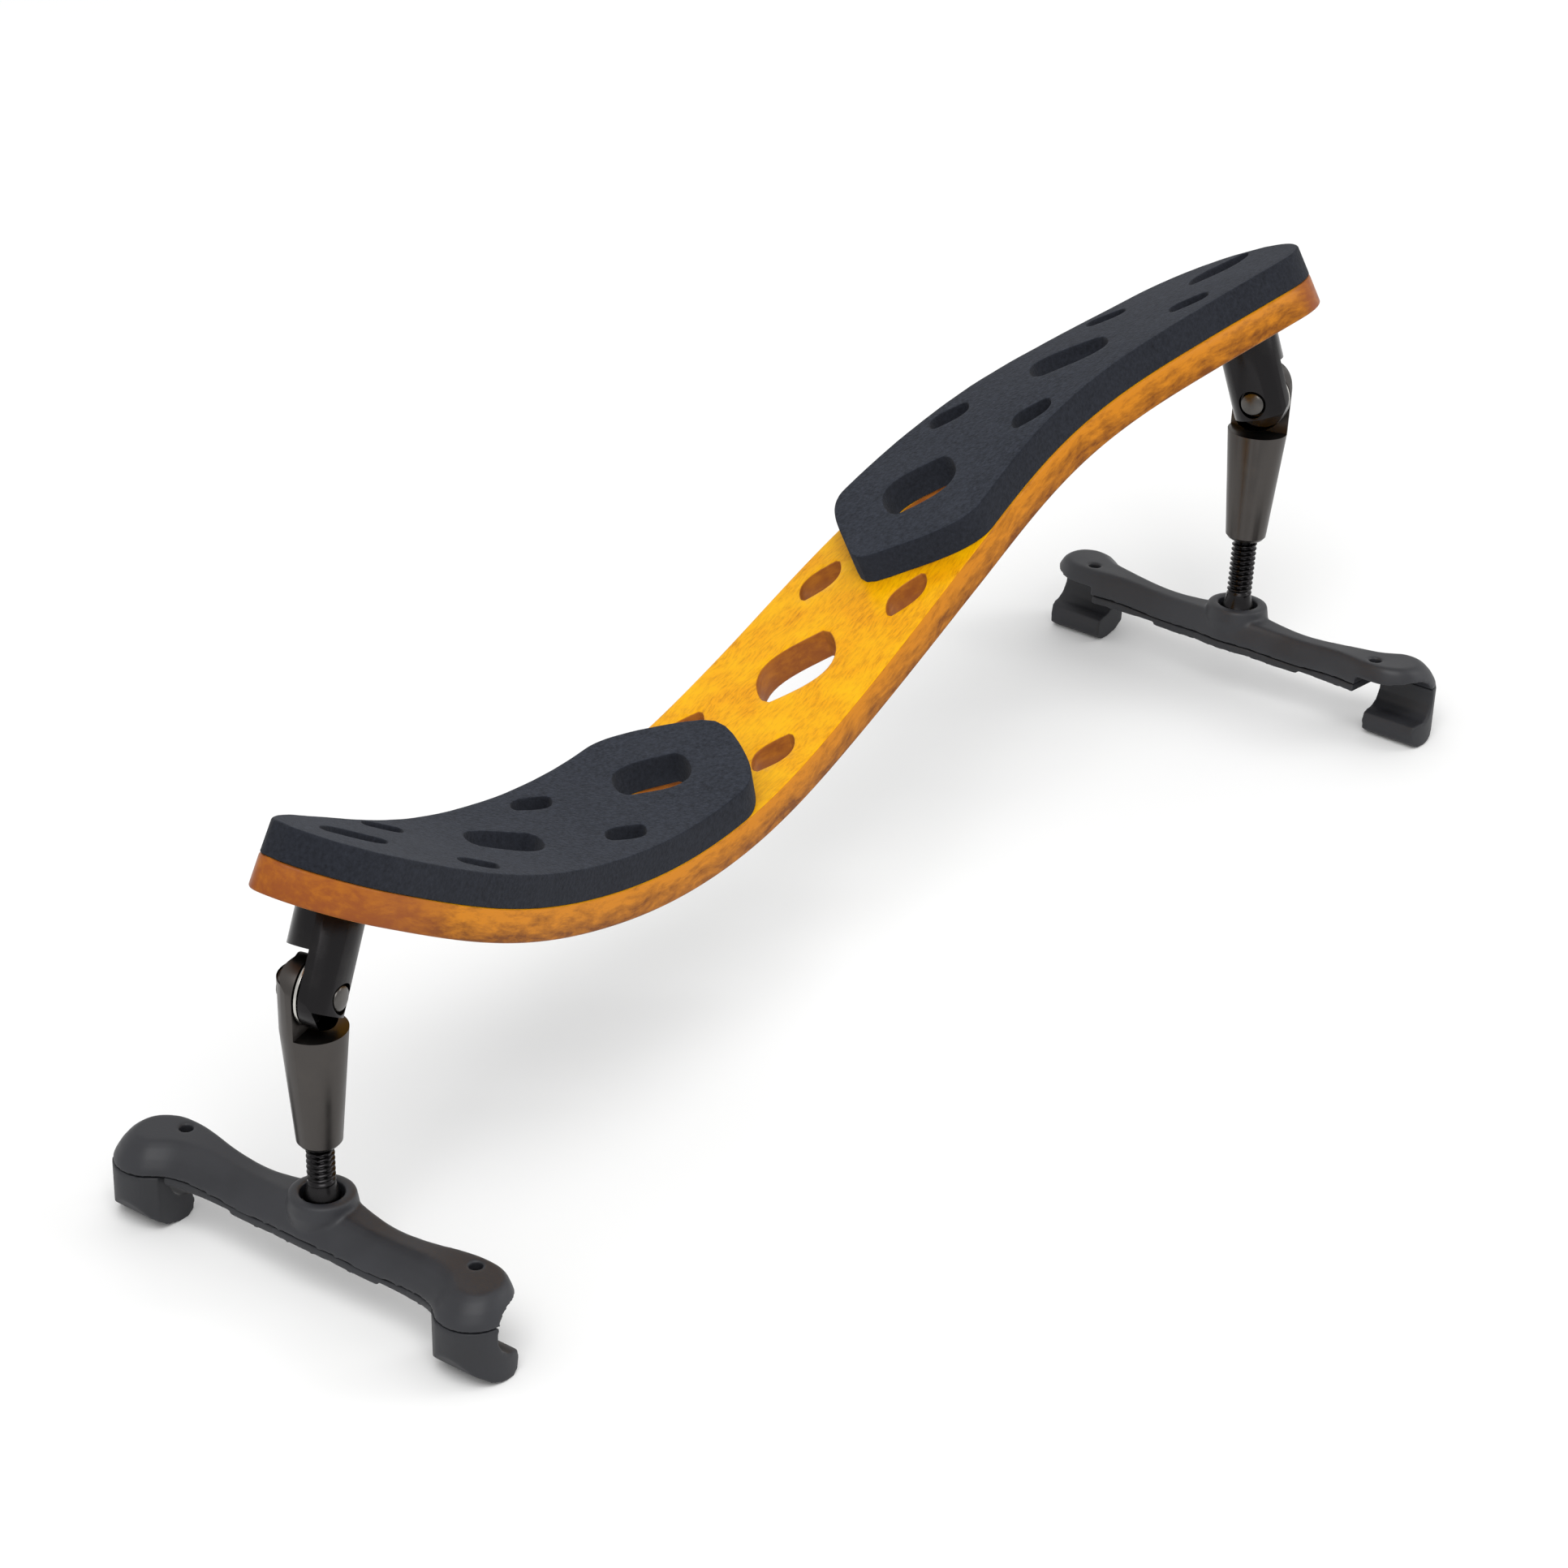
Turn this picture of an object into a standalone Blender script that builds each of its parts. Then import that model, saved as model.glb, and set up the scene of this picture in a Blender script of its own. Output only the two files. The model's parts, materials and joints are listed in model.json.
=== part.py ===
# Violin shoulder rest: a bent wooden plate with two foam pads, carried on two adjustable legs.
# Metres, +Z up, +X along the plate. The four rubber claws stand on z = 0.

import math

import bmesh
import bpy
import numpy as np
from mathutils import Matrix, Vector

MM = 0.001
GAP = 0.3 * MM                   # between pieces that touch
SIDES = 28                       # facets round a turned piece

# Plate. "Along" is measured on the curved centre line from the middle lens hole.
PLATE_FROM, PLATE_TO = -122 * MM, 113.6 * MM
PLATE_MIDDLE = (2.8 * MM, 4.5 * MM, 42.9 * MM)   # top face at the middle lens hole
PLATE_YAW = 1.7                                  # degrees, seen from above
PLATE_THICK = 4.6 * MM
TIP_LENGTH = 13 * MM             # the rounded end takes this much of the length
# Nine evenly spaced stations from the left tip to the right tip.
SLOPE = (-31, -29, -15.5, 2, 14.5, 17.5, 11.5, 2.5, 1.5)        # degrees, rising to +X
TWIST = (-1.5, 0, 2.5, 5, 8, 13, 20, 24, 27.5)                  # degrees, near side up
NEAR_HALF = (9, 13, 14, 14.3, 13.8, 13.9, 13.1, 14.2, 17)       # mm to the -Y edge
FAR_HALF = (5, 11, 13.5, 13.4, 13.3, 13.1, 12.6, 12.6, 13.5)    # mm to the +Y edge
SIDEWAYS = (-1.8, -1.5, -0.7, 0.1, 1.7, 2.9, 2.6, -0.5, -2.4)   # mm, bow of the centre line

# Leaf-shaped holes at every pitch: one big, a pair of small, one big, ...
HOLE_PITCH = 17.6 * MM
BIG_HOLE = (15.6 * MM, 9.6 * MM)
SMALL_HOLE = (8.8 * MM, 4.5 * MM)
END_HOLE = (16.0 * MM, 5.6 * MM)
PAIR_OFFSET = 8.0 * MM           # a small hole's distance from the centre line
HOLE_SKEW = 0.8                  # under 1 moves each side's fullest point away from its tip
PAD_HOLE_SHARE = 0.86            # the foam's holes are this much of the wood's

# Foam pads on the plate, each with a pointed inner end.
FOAM_THICK = 4.3 * MM
LONG_PAD_NOSE, SHORT_PAD_NOSE = 17.2 * MM, -17.6 * MM
NOSE_LENGTH = 15.6 * MM

# Legs, in a frame at the hinge pin with z up along the leg and the pin's head at -y.
KNUCKLE_R = 4.6 * MM
KNUCKLE_LENGTH = 12.0 * MM       # hinge pin to the plate's seat
SEAT_DEPTH = 0.4 * MM            # the seat is sunk this far into the plate's underside
TONGUE_GAP = 1.0 * MM            # between the two tongues, holds the washer
SHOULDER = 5.3 * MM              # hinge pin to either shoulder
PIN_R, PIN_HEAD_R = 1.0 * MM, 1.8 * MM
STUD_R, INSERT_R, INSERT_LENGTH = 1.9 * MM, 3.0 * MM, 2.6 * MM
SLEEVE_TOP_R, SLEEVE_END_R, SLEEVE_LENGTH = 4.5 * MM, 3.05 * MM, 22.6 * MM
SCREW_R, SCREW_TOP, SHANK_R = 1.9 * MM, 12.5 * MM, 1.4 * MM   # SCREW_TOP: pin to the screw's end

# Forks, in a frame with q pointing to the other fork and z up from the surface.
BAR_BOTTOM, BAR_TOP, BOSS_TOP = 8.6 * MM, 12.4 * MM, 13.7 * MM
BOSS_R, HUB_HOLE_R = 4.8 * MM, 3.0 * MM
BUSH_R, BUSH_BORE_R = 2.7 * MM, 1.7 * MM
DOT_Q, DOT_Y, DOT_R = 1.1 * MM, 25.6 * MM, 0.95 * MM
CLAW_FROM, CLAW_TO = 24.2 * MM, 36 * MM
STRIP_TO, STRIP_MIDDLE = 23.8 * MM, 13 * MM
# Half of the bar's plan outline, from the middle of its inner side to the middle of its outer side.
BAR_PLAN = ((4.9, 0), (3.8, 5), (3.0, 11), (3.2, 18), (4.2, 24), (3.9, 29), (1.4, 32.6),
            (-2.2, 33.8), (-5.8, 32.8), (-7.9, 29.8), (-7.6, 26.2), (-5.6, 23.4), (-4.6, 19),
            (-4.4, 13), (-4.7, 6), (-5.2, 0))
# The bar's outline going up: height, inset and shift to the inner side.
BAR_LEVELS = ((8.6, 0.1, 0), (9.6, 0.4, 0.2), (10.8, 1.0, 0.5), (11.8, 1.7, 0.9), (12.4, 2.5, 1.2))
BAR_SAG, SAG_SPAN = 0.7 * MM, 23 * MM    # each arm dips between the hub and the end
# The claw's section: outer wall, foot, lip, mouth and the pad against the bar.
CLAW_SECTION = ((-9.6, 8.3), (-8.6, 6.4), (-7.9, 4.2), (-6.6, 2.1), (-4.6, 0.6), (-2.6, 0),
                (-0.6, 0), (0.2, 0.6), (0.4, 1.6), (0.1, 2.5), (-1.0, 2.5), (-2.3, 2.9),
                (-3.0, 3.8), (-3.1, 5.2), (-2.8, 6.3), (-2.0, 7.1), (6.6, 7.1), (6.6, 8.3))

FINISHES = {
    "varnished_wood": ((0.62, 0.29, 0.035), 0.3, 0.0),
    "foam": ((0.035, 0.038, 0.045), 0.95, 0.0),
    "black_anodised": ((0.018, 0.018, 0.02), 0.28, 0.9),
    "bright_steel": ((0.62, 0.62, 0.6), 0.25, 1.0),
    "brass": ((0.62, 0.45, 0.18), 0.3, 1.0),
    "black_plastic": ((0.03, 0.031, 0.036), 0.6, 0.0),
    "rubber": ((0.028, 0.029, 0.033), 0.75, 0.0),
}


def clear_scene():
    for obj in list(bpy.data.objects):
        bpy.data.objects.remove(obj, do_unlink=True)


def finish(name):
    found = bpy.data.materials.get(name)
    if found:
        return found
    colour, roughness, metallic = FINISHES[name]
    made = bpy.data.materials.new(name)
    made.use_nodes = True
    shader = made.node_tree.nodes["Principled BSDF"]
    shader.inputs["Base Color"].default_value = (*colour, 1)
    shader.inputs["Roughness"].default_value = roughness
    shader.inputs["Metallic"].default_value = metallic
    return made


def new_object(name, bm, material=None, parent=None):
    """Links a mesh object, with no material for a cutter."""
    bmesh.ops.recalc_face_normals(bm, faces=bm.faces)
    mesh = bpy.data.meshes.new(name)
    bm.to_mesh(mesh)
    bm.free()
    obj = bpy.data.objects.new(name, mesh)
    bpy.context.scene.collection.objects.link(obj)
    obj.parent = parent
    if material:
        mesh.materials.append(finish(material))
        mesh.shade_smooth()
        mesh.set_sharp_from_angle(angle=math.radians(35))
    else:
        obj.hide_render = True
        obj.display_type = "WIRE"
    return obj


def boolean(obj, cutter, operation="DIFFERENCE"):
    modifier = obj.modifiers.new(cutter.name, "BOOLEAN")
    modifier.operation = operation
    modifier.solver = "EXACT"
    modifier.object = cutter


def new_empty(name, location, rotation=None, parent=None):
    empty = bpy.data.objects.new(name, None)
    bpy.context.scene.collection.objects.link(empty)
    empty.parent = parent
    matrix = (rotation or Matrix.Identity(3)).to_4x4()
    matrix.translation = location
    empty.matrix_world = matrix
    return empty


def turned(profile, sides=SIDES, along="Z"):
    """Turns (radius, height) points round an axis. A profile that starts and ends at radius 0
    gives a solid, and one that never touches the axis gives a ring."""
    bm = bmesh.new()
    spin = Matrix.Rotation(math.radians(90), 4, "X") if along == "Y" else Matrix.Identity(4)
    rings = []
    for radius, height in profile:
        count = sides if radius > 0 else 1
        rings.append([
            bm.verts.new(spin @ Vector((radius * math.cos(2 * math.pi * i / count),
                                        radius * math.sin(2 * math.pi * i / count), height)))
            for i in range(count)])
    pairs = list(zip(rings, rings[1:]))
    if len(rings[0]) > 1:
        pairs.append((rings[-1], rings[0]))
    for a, b in pairs:
        for i in range(sides):
            j = (i + 1) % sides
            corners = [a[i % len(a)], a[j % len(a)], b[j % len(b)], b[i % len(b)]]
            bm.faces.new(list(dict.fromkeys(corners)))
    return bm


def prism(outline, low, high, axes="XY"):
    """Extrudes a closed outline of (u, v) points from low to high across the plane of the axes."""
    bm = bmesh.new()
    place = {"XY": lambda u, v, w: (u, v, w), "XZ": lambda u, v, w: (u, w, v)}[axes]
    ends = [[bm.verts.new(place(u, v, w)) for u, v in outline] for w in (low, high)]
    for end in ends:
        bm.faces.new(end)
    for i in range(len(outline)):
        j = (i + 1) % len(outline)
        bm.faces.new((ends[0][i], ends[0][j], ends[1][j], ends[1][i]))
    return bm


def rectangle(u0, u1, v0, v1):
    return [(u0, v0), (u1, v0), (u1, v1), (u0, v1)]


def catmull_rom(values, where):
    """A smooth curve through evenly spaced values; where runs from 0 to 1."""
    values = np.asarray(values, float)
    last = len(values) - 1
    x = np.clip(where, 0, 1) * last
    i = np.clip(np.floor(x).astype(int), 0, last - 1)
    f = x - i
    a, b, c, d = (values[np.clip(i + k, 0, last)] for k in (-1, 0, 1, 2))
    return b + 0.5 * f * (c - a + f * (2 * a - 5 * b + 4 * c - d + f * (3 * (b - c) + d - a)))


def closed_curve(points, per_span):
    """A smooth closed outline through the points."""
    n = len(points)
    outline = []
    for i in range(n):
        four = np.array([points[(i + k) % n] for k in (-1, 0, 1, 2)], float)
        for step in range(per_span):
            where = np.full(1, (1 + step / per_span) / 3)
            outline.append(tuple(float(catmull_rom(four[:, k], where)[0]) for k in (0, 1)))
    return outline


# ---- the plate's curved surface -------------------------------------------------------------

ALONG = np.linspace(PLATE_FROM, PLATE_TO, 471)
WHERE = (ALONG - PLATE_FROM) / (PLATE_TO - PLATE_FROM)
SLOPES = np.radians(catmull_rom(SLOPE, WHERE))
STEPS = np.diff(ALONG)
RUN = np.concatenate([[0], np.cumsum(STEPS * np.cos((SLOPES[1:] + SLOPES[:-1]) / 2))])
RISE = np.concatenate([[0], np.cumsum(STEPS * np.sin((SLOPES[1:] + SLOPES[:-1]) / 2))])
RUN -= np.interp(0, ALONG, RUN)
RISE -= np.interp(0, ALONG, RISE)


def where_on_plate(along):
    return np.array((along - PLATE_FROM) / (PLATE_TO - PLATE_FROM))


def plate_frame(along):
    """Centre point of the top face, the direction across to the far side, and the normal."""
    t = where_on_plate(along)
    slope, twist = (math.radians(float(catmull_rom(v, t))) for v in (SLOPE, TWIST))
    bow = float(catmull_rom(SIDEWAYS, t)) * MM
    yaw = Matrix.Rotation(math.radians(PLATE_YAW), 3, "Z")
    upright = Vector((-math.sin(slope), 0, math.cos(slope)))
    side = Vector((0, 1, 0))
    across = side * math.cos(twist) - upright * math.sin(twist)
    normal = upright * math.cos(twist) + side * math.sin(twist)
    centre = Vector((float(np.interp(along, ALONG, RUN)), bow, float(np.interp(along, ALONG, RISE))))
    return Vector(PLATE_MIDDLE) + yaw @ centre, yaw @ across, yaw @ normal


def on_plate(along, across, height):
    centre, side, normal = plate_frame(along)
    return centre + side * across + normal * height


def half_width(along, side):
    """Distance from the centre line to the edge; side is -1 near, +1 far."""
    values = NEAR_HALF if side < 0 else FAR_HALF
    half = float(catmull_rom(values, where_on_plate(along))) * MM
    beyond = max(PLATE_FROM + TIP_LENGTH - along, along - (PLATE_TO - TIP_LENGTH), 0) / TIP_LENGTH
    return half * math.sqrt(max(0, 1 - beyond ** 2))


def tip_stations(end, steps=6):
    """Stations from a tip inwards to where its rounding starts, closer together at the tip."""
    inwards = 1 if end == PLATE_FROM else -1
    return [end + inwards * TIP_LENGTH * (1 - math.cos(math.pi / 2 * i / steps)) for i in range(steps + 1)]


def strip_outline(stations, width_at):
    """A closed outline through stations on the near side, and back on the far side."""
    near = [(s, -width_at(s, -1)) for s in stations]
    far = [(s, width_at(s, 1)) for s in reversed(stations)]
    points = []
    for point in near + far:
        if not points or math.dist(point, points[-1]) > 0.05 * MM:
            points.append(point)
    if math.dist(points[0], points[-1]) < 0.05 * MM:
        points.pop()
    return points


def lens(along, across, size, steps=8):
    """A leaf shape, the same when turned half round: each side is fullest nearer one end and
    runs almost straight to a blunt tip at the other."""
    length, width = size
    blunt = 0.06 * width
    top = []
    for i in range(steps + 1):
        t = (1 - math.cos(math.pi * i / steps)) / 2
        top.append((length * (t - 0.5), blunt + (width / 2 - blunt) * math.sin(math.pi * t ** HOLE_SKEW)))
    ring = top + [(-u, -v) for u, v in top]
    return [(along + u, across + v) for u, v in ring]


def bent_sheet(outline, holes, low, high, spacing=6 * MM):
    """A flat sheet with holes, from low to high above the plate's top face, bent onto the plate."""
    bm = bmesh.new()
    edges = []
    for loop in [outline] + holes:
        verts = [bm.verts.new((u, v, low)) for u, v in loop]
        edges += [bm.edges.new((verts[i], verts[(i + 1) % len(verts)])) for i in range(len(verts))]
    bmesh.ops.triangle_fill(bm, use_beauty=True, edges=edges, normal=(0, 0, 1))
    faces = bmesh.ops.extrude_face_region(bm, geom=list(bm.faces))
    top = [v for v in faces["geom"] if isinstance(v, bmesh.types.BMVert)]
    bmesh.ops.translate(bm, verts=top, vec=(0, 0, high - low))
    first = math.ceil((min(u for u, v in outline) + MM) / spacing)
    last = math.floor((max(u for u, v in outline) - MM) / spacing)
    for i in range(first, last + 1):
        # A little off the round number, so that no cut runs through a corner of a hole.
        bmesh.ops.bisect_plane(
            bm, geom=list(bm.verts) + list(bm.edges) + list(bm.faces), dist=0.01 * MM,
            plane_co=((i + 0.13) * spacing, 0, 0), plane_no=(1, 0, 0))
    for vert in bm.verts:
        vert.co = on_plate(*vert.co)
    bmesh.ops.triangulate(bm, faces=[f for f in bm.faces if len(f.verts) > 3])
    return bm


def hole_outlines(first, last, end_size, share=1.0):
    """The leaf holes from number first to number last; number 0 is the middle one."""
    loops = []
    for k in range(first, last + 1):
        size = SMALL_HOLE if k % 2 else end_size if abs(k) == 6 else BIG_HOLE
        size = (size[0] * share, size[1] * share)
        for offset in (-PAIR_OFFSET, PAIR_OFFSET) if k % 2 else (0,):
            loops.append(lens(k * HOLE_PITCH, offset, size))
    return loops


def make_plate():
    spacing = 7.5 * MM
    middle = list(np.arange(PLATE_FROM + TIP_LENGTH + spacing, PLATE_TO - TIP_LENGTH - spacing / 2, spacing))
    stations = tip_stations(PLATE_FROM) + [float(s) for s in middle] + tip_stations(PLATE_TO)[::-1]
    outline = strip_outline(stations, half_width)
    bm = bent_sheet(outline, hole_outlines(-5, 5, BIG_HOLE), -PLATE_THICK, 0)
    return new_object("rest_plate", bm, "varnished_wood")


def make_pad(name, nose, sharpness, end, first_hole, last_hole):
    """A foam pad from its pointed nose to a tip of the plate, kept inside the plate's edge."""
    outward = 1 if end > nose else -1
    edge = 0.4 * MM

    def width(s, side):
        past = abs(s - nose) / NOSE_LENGTH
        full = half_width(s - outward * edge, side) - edge
        return full if past >= 1 else full * math.sin(math.pi / 2 * past) ** sharpness

    nose_stations = [nose + outward * NOSE_LENGTH * (i / 8) for i in range(9)]
    tip = [s - outward * edge for s in tip_stations(end)]
    middle_from, middle_to = sorted((nose_stations[-1], tip[-1]))
    middle = np.linspace(middle_from, middle_to, 9)[1:-1]
    stations = sorted(nose_stations + [float(s) for s in middle] + tip)
    outline = strip_outline(stations, lambda s, side: max(width(s, side), 0))
    holes = hole_outlines(first_hole, last_hole, END_HOLE, PAD_HOLE_SHARE)
    bm = bent_sheet(outline, holes, GAP, GAP + FOAM_THICK)
    return new_object(name, bm, "foam")


# ---- a leg ------------------------------------------------------------------------------------

def half_round(radius, shoulder, upwards):
    """The side view of a tongue: a half circle about the hinge pin that opens to a wide block."""
    sign = 1 if upwards else -1
    arc = [(radius * math.cos(a), sign * radius * math.sin(a))
           for a in np.linspace(0, math.pi, 15)]
    wide, far = 2 * radius, -sign * 3 * shoulder
    step = -sign * 0.8 * shoulder
    return arc + [(-radius - 0.01 * MM, step), (-wide, step), (-wide, far), (wide, far),
                  (wide, step), (radius + 0.01 * MM, step)]


def half_lap(obj, name, frame, radius, upwards):
    """Cuts a round bar to a tongue on one side of the hinge, with a round end and a pin hole.
    The upper knuckle's tongue is on the -Y side and the sleeve's on the +Y side."""
    side = 1 if upwards else -1
    sign = 1 if upwards else -1
    away = sorted((-side * 2 * radius, side * TONGUE_GAP / 2))
    lap = prism(rectangle(-2 * radius, 2 * radius, *sorted((-sign * SHOULDER, sign * 3 * radius))),
                away[0], away[1], "XZ")
    boolean(obj, new_object(name + "_lap_cutter", lap, parent=frame))
    end = prism(half_round(radius, SHOULDER * 3, upwards), -2 * radius, 2 * radius, "XZ")
    boolean(obj, new_object(name + "_end_cutter", end, parent=frame), "INTERSECT")
    seat = PIN_HEAD_R + GAP
    hole = turned([(0, -6 * MM), (PIN_R + GAP, -6 * MM), (PIN_R + GAP, 3.3 * MM), (seat, 3.3 * MM),
                   (seat, 6 * MM), (0, 6 * MM)], 20, "Y")
    if upwards:
        bmesh.ops.rotate(hole, verts=hole.verts, matrix=Matrix.Rotation(math.pi, 3, "X"))
    boolean(obj, new_object(name + "_pin_cutter", hole, parent=frame))


def make_upper_knuckle(side, frame):
    name = side + "_upper_knuckle"
    top = KNUCKLE_LENGTH - GAP
    profile = [(0, -KNUCKLE_R * 1.2), (KNUCKLE_R, -KNUCKLE_R * 1.2), (KNUCKLE_R, top), (STUD_R, top),
               (STUD_R, KNUCKLE_LENGTH + INSERT_LENGTH - GAP), (0, KNUCKLE_LENGTH + INSERT_LENGTH - GAP)]
    knuckle = new_object(name, turned(profile), "black_anodised", frame)
    half_lap(knuckle, name, frame, KNUCKLE_R, False)


def make_socket_insert(side, frame, plate):
    bottom, top = KNUCKLE_LENGTH, KNUCKLE_LENGTH + INSERT_LENGTH
    ring = [(STUD_R + GAP, bottom), (INSERT_R, bottom), (INSERT_R, top), (STUD_R + GAP, top)]
    new_object(side + "_socket_insert", turned(ring, 20), "brass", frame)
    seat, pocket = KNUCKLE_R + 0.4 * MM, INSERT_R + GAP
    cut = [(0, bottom - 4 * MM), (seat, bottom - 4 * MM), (seat, bottom), (pocket, bottom),
           (pocket, top + GAP), (0, top + GAP)]
    boolean(plate, new_object(side + "_seat_cutter", turned(cut, 24), parent=frame))


def make_hinge_pieces(side, frame):
    """The pin with its domed head on the -Y side, its nut and the washer between the tongues."""
    inner = 3.6 * MM
    pin = [(0, -inner - 0.5 * MM), (PIN_R, -inner - 0.5 * MM), (PIN_R, inner), (PIN_HEAD_R, inner),
           (PIN_HEAD_R, inner + 0.6 * MM), (0.8 * PIN_HEAD_R, inner + 0.9 * MM),
           (0.45 * PIN_HEAD_R, inner + 1.08 * MM), (0, inner + 1.12 * MM)]
    new_object(side + "_hinge_pin", turned(pin, 20, "Y"), "black_anodised", frame)
    nut = [(PIN_R + GAP, -inner), (PIN_HEAD_R, -inner), (PIN_HEAD_R, -inner - 0.7 * MM),
           (PIN_R + GAP, -inner - 0.7 * MM)]
    new_object(side + "_pin_nut", turned(nut, 20, "Y"), "black_anodised", frame)
    half = TONGUE_GAP / 2 - GAP
    washer = [(PIN_R + GAP, -half), (KNUCKLE_R - 0.1 * MM, -half), (KNUCKLE_R - 0.1 * MM, half),
              (PIN_R + GAP, half)]
    new_object(side + "_friction_washer", turned(washer, 24, "Y"), "bright_steel", frame)


def make_sleeve(side, frame):
    name = side + "_leg_sleeve"
    bore, bore_top = SCREW_R + GAP, -7.4 * MM
    bottom = -SLEEVE_LENGTH
    profile = [(0, bore_top), (bore, bore_top), (bore, bottom), (SLEEVE_END_R - 0.4 * MM, bottom),
               (SLEEVE_END_R, bottom + 0.5 * MM), (SLEEVE_TOP_R, -SHOULDER),
               (SLEEVE_TOP_R, 1.2 * SLEEVE_TOP_R), (0, 1.2 * SLEEVE_TOP_R)]
    sleeve = new_object(name, turned(profile), "black_anodised", frame)
    half_lap(sleeve, name, frame, SLEEVE_TOP_R, True)


def make_screw_pieces(side, frame, rod_top):
    """The height screw with its collar, shank and clip groove, the bush it turns in and the clip."""
    groove_r, bottom = 0.9 * MM, 7.5 * MM
    clip_low, clip_high = 8.3 * MM, 8.8 * MM
    bush_low, bush_high = 9.1 * MM, 12.2 * MM
    screw = [(0, bottom), (SHANK_R, bottom), (SHANK_R, clip_low - GAP), (groove_r, clip_low - GAP),
             (groove_r, clip_high + GAP), (SHANK_R, clip_high + GAP), (SHANK_R, bush_high + GAP),
             (2.5 * MM, bush_high + GAP), (2.5 * MM, bush_high + 1.1 * MM),
             (2.1 * MM, bush_high + 2.0 * MM), (SCREW_R, bush_high + 2.8 * MM),
             (SCREW_R, rod_top - 0.4 * MM), (SCREW_R - 0.4 * MM, rod_top), (0, rod_top)]
    new_object(side + "_height_screw", turned(screw, 20), "black_anodised", frame)
    bush = [(BUSH_BORE_R, bush_low), (BUSH_R, bush_low), (BUSH_R, bush_high), (BUSH_BORE_R, bush_high)]
    new_object(side + "_hub_bush", turned(bush, 20), "brass", frame)
    clip = [(groove_r + GAP, clip_low), (2.4 * MM, clip_low), (2.4 * MM, clip_high),
            (groove_r + GAP, clip_high)]
    new_object(side + "_screw_clip", turned(clip, 20), "bright_steel", frame)


def bar_outline(inset=0.0, shift=0.0, per_span=2):
    """The bar's plan outline, mirrored about y = 0, drawn in by an inset and shifted along q."""
    half = [(q * MM, y * MM) for q, y in BAR_PLAN]
    loop = closed_curve(half + [(q, -y) for q, y in half[-2:0:-1]], per_span)
    drawn = []
    for i, (q, y) in enumerate(loop):
        run = (Vector(loop[(i + 1) % len(loop)]) - Vector(loop[i - 1])).normalized()
        drawn.append((q - run.y * inset + shift, y + run.x * inset))
    return drawn


def stacked(levels):
    """Outlines of the same number of points at rising heights, joined and capped, with the
    arms' dip."""
    bm = bmesh.new()
    rings = []
    for z, outline in levels:
        ring = []
        for u, v in outline:
            dip = BAR_SAG * math.sin(math.pi * min(abs(v), SAG_SPAN) / SAG_SPAN) ** 2
            ring.append(bm.verts.new((u, v, z - dip)))
        rings.append(ring)
    bm.faces.new(rings[0])
    bm.faces.new(rings[-1])
    for a, b in zip(rings, rings[1:]):
        for i in range(len(a)):
            j = (i + 1) % len(a)
            bm.faces.new((a[i], a[j], b[j], b[i]))
    bmesh.ops.triangulate(bm, faces=bm.faces)
    return bm


def make_fork(side, frame, words):
    """words: the names of the -y end and the +y end."""
    levels = [(z * MM, bar_outline(inset * MM, shift * MM)) for z, inset, shift in BAR_LEVELS]
    bar = new_object(side + "_fork_frame", stacked(levels), "black_plastic", frame)
    boss = [(0, BAR_BOTTOM + MM), (BOSS_R - 0.3 * MM, BAR_BOTTOM + MM), (BOSS_R, BAR_TOP - 0.6 * MM),
            (BOSS_R - 0.4 * MM, BOSS_TOP - 0.3 * MM), (BOSS_R - 0.8 * MM, BOSS_TOP), (0, BOSS_TOP)]
    boolean(bar, new_object(side + "_boss", turned(boss, 24), parent=frame), "UNION")
    hole = [(0, 0), (HUB_HOLE_R, 0), (HUB_HOLE_R, 2 * BOSS_TOP), (0, 2 * BOSS_TOP)]
    hub_cutter = new_object(side + "_hub_cutter", turned(hole, 20), parent=frame)
    boolean(bar, hub_cutter)
    rim = bar_outline(0.3 * MM)
    strip_obj = new_object(side + "_rubber_strip", stacked([(7.3 * MM, rim), (BAR_BOTTOM - GAP, rim)]),
                           "rubber", frame)
    for end in (-1, 1):
        # Nothing beyond the claws' faces, and thinner outside the middle stretch.
        for start, top in ((STRIP_TO, 20 * MM), (STRIP_MIDDLE, 7.05 * MM)):
            cut = rectangle(-20 * MM, 20 * MM, *sorted((end * start, end * 60 * MM)))
            boolean(strip_obj, new_object(f"{side}_strip_cutter", prism(cut, 0, top), parent=frame))
    boolean(strip_obj, hub_cutter)
    for end, word in zip((-1, 1), words):
        spot = Matrix.Translation((DOT_Q, end * DOT_Y, 0))
        dot = turned([(0, 6 * MM), (DOT_R, 6 * MM), (DOT_R, 20 * MM), (0, 20 * MM)], 16)
        dot.transform(spot)
        dot_cutter = new_object(f"{side}_{word}_dot_cutter", dot, parent=frame)
        boolean(bar, dot_cutter)
        section = [(q * MM, z * MM) for q, z in CLAW_SECTION]
        claw = prism(section, *sorted((end * CLAW_FROM, end * CLAW_TO)), "XZ")
        claw_obj = new_object(f"{side}_{word}_claw", claw, "rubber", frame)
        trim = prism(bar_outline(0.1 * MM), -5 * MM, 20 * MM)
        boolean(claw_obj, new_object(f"{side}_{word}_trim", trim, parent=frame), "INTERSECT")
        boolean(claw_obj, dot_cutter)
        pin_r = DOT_R - GAP
        pin = turned([(0, 7.3 * MM), (pin_r, 7.3 * MM), (pin_r, 11.1 * MM), (0, 11.1 * MM)], 12)
        pin.transform(spot)
        new_object(f"{side}_{word}_claw_pin", pin, "bright_steel", frame)


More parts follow.
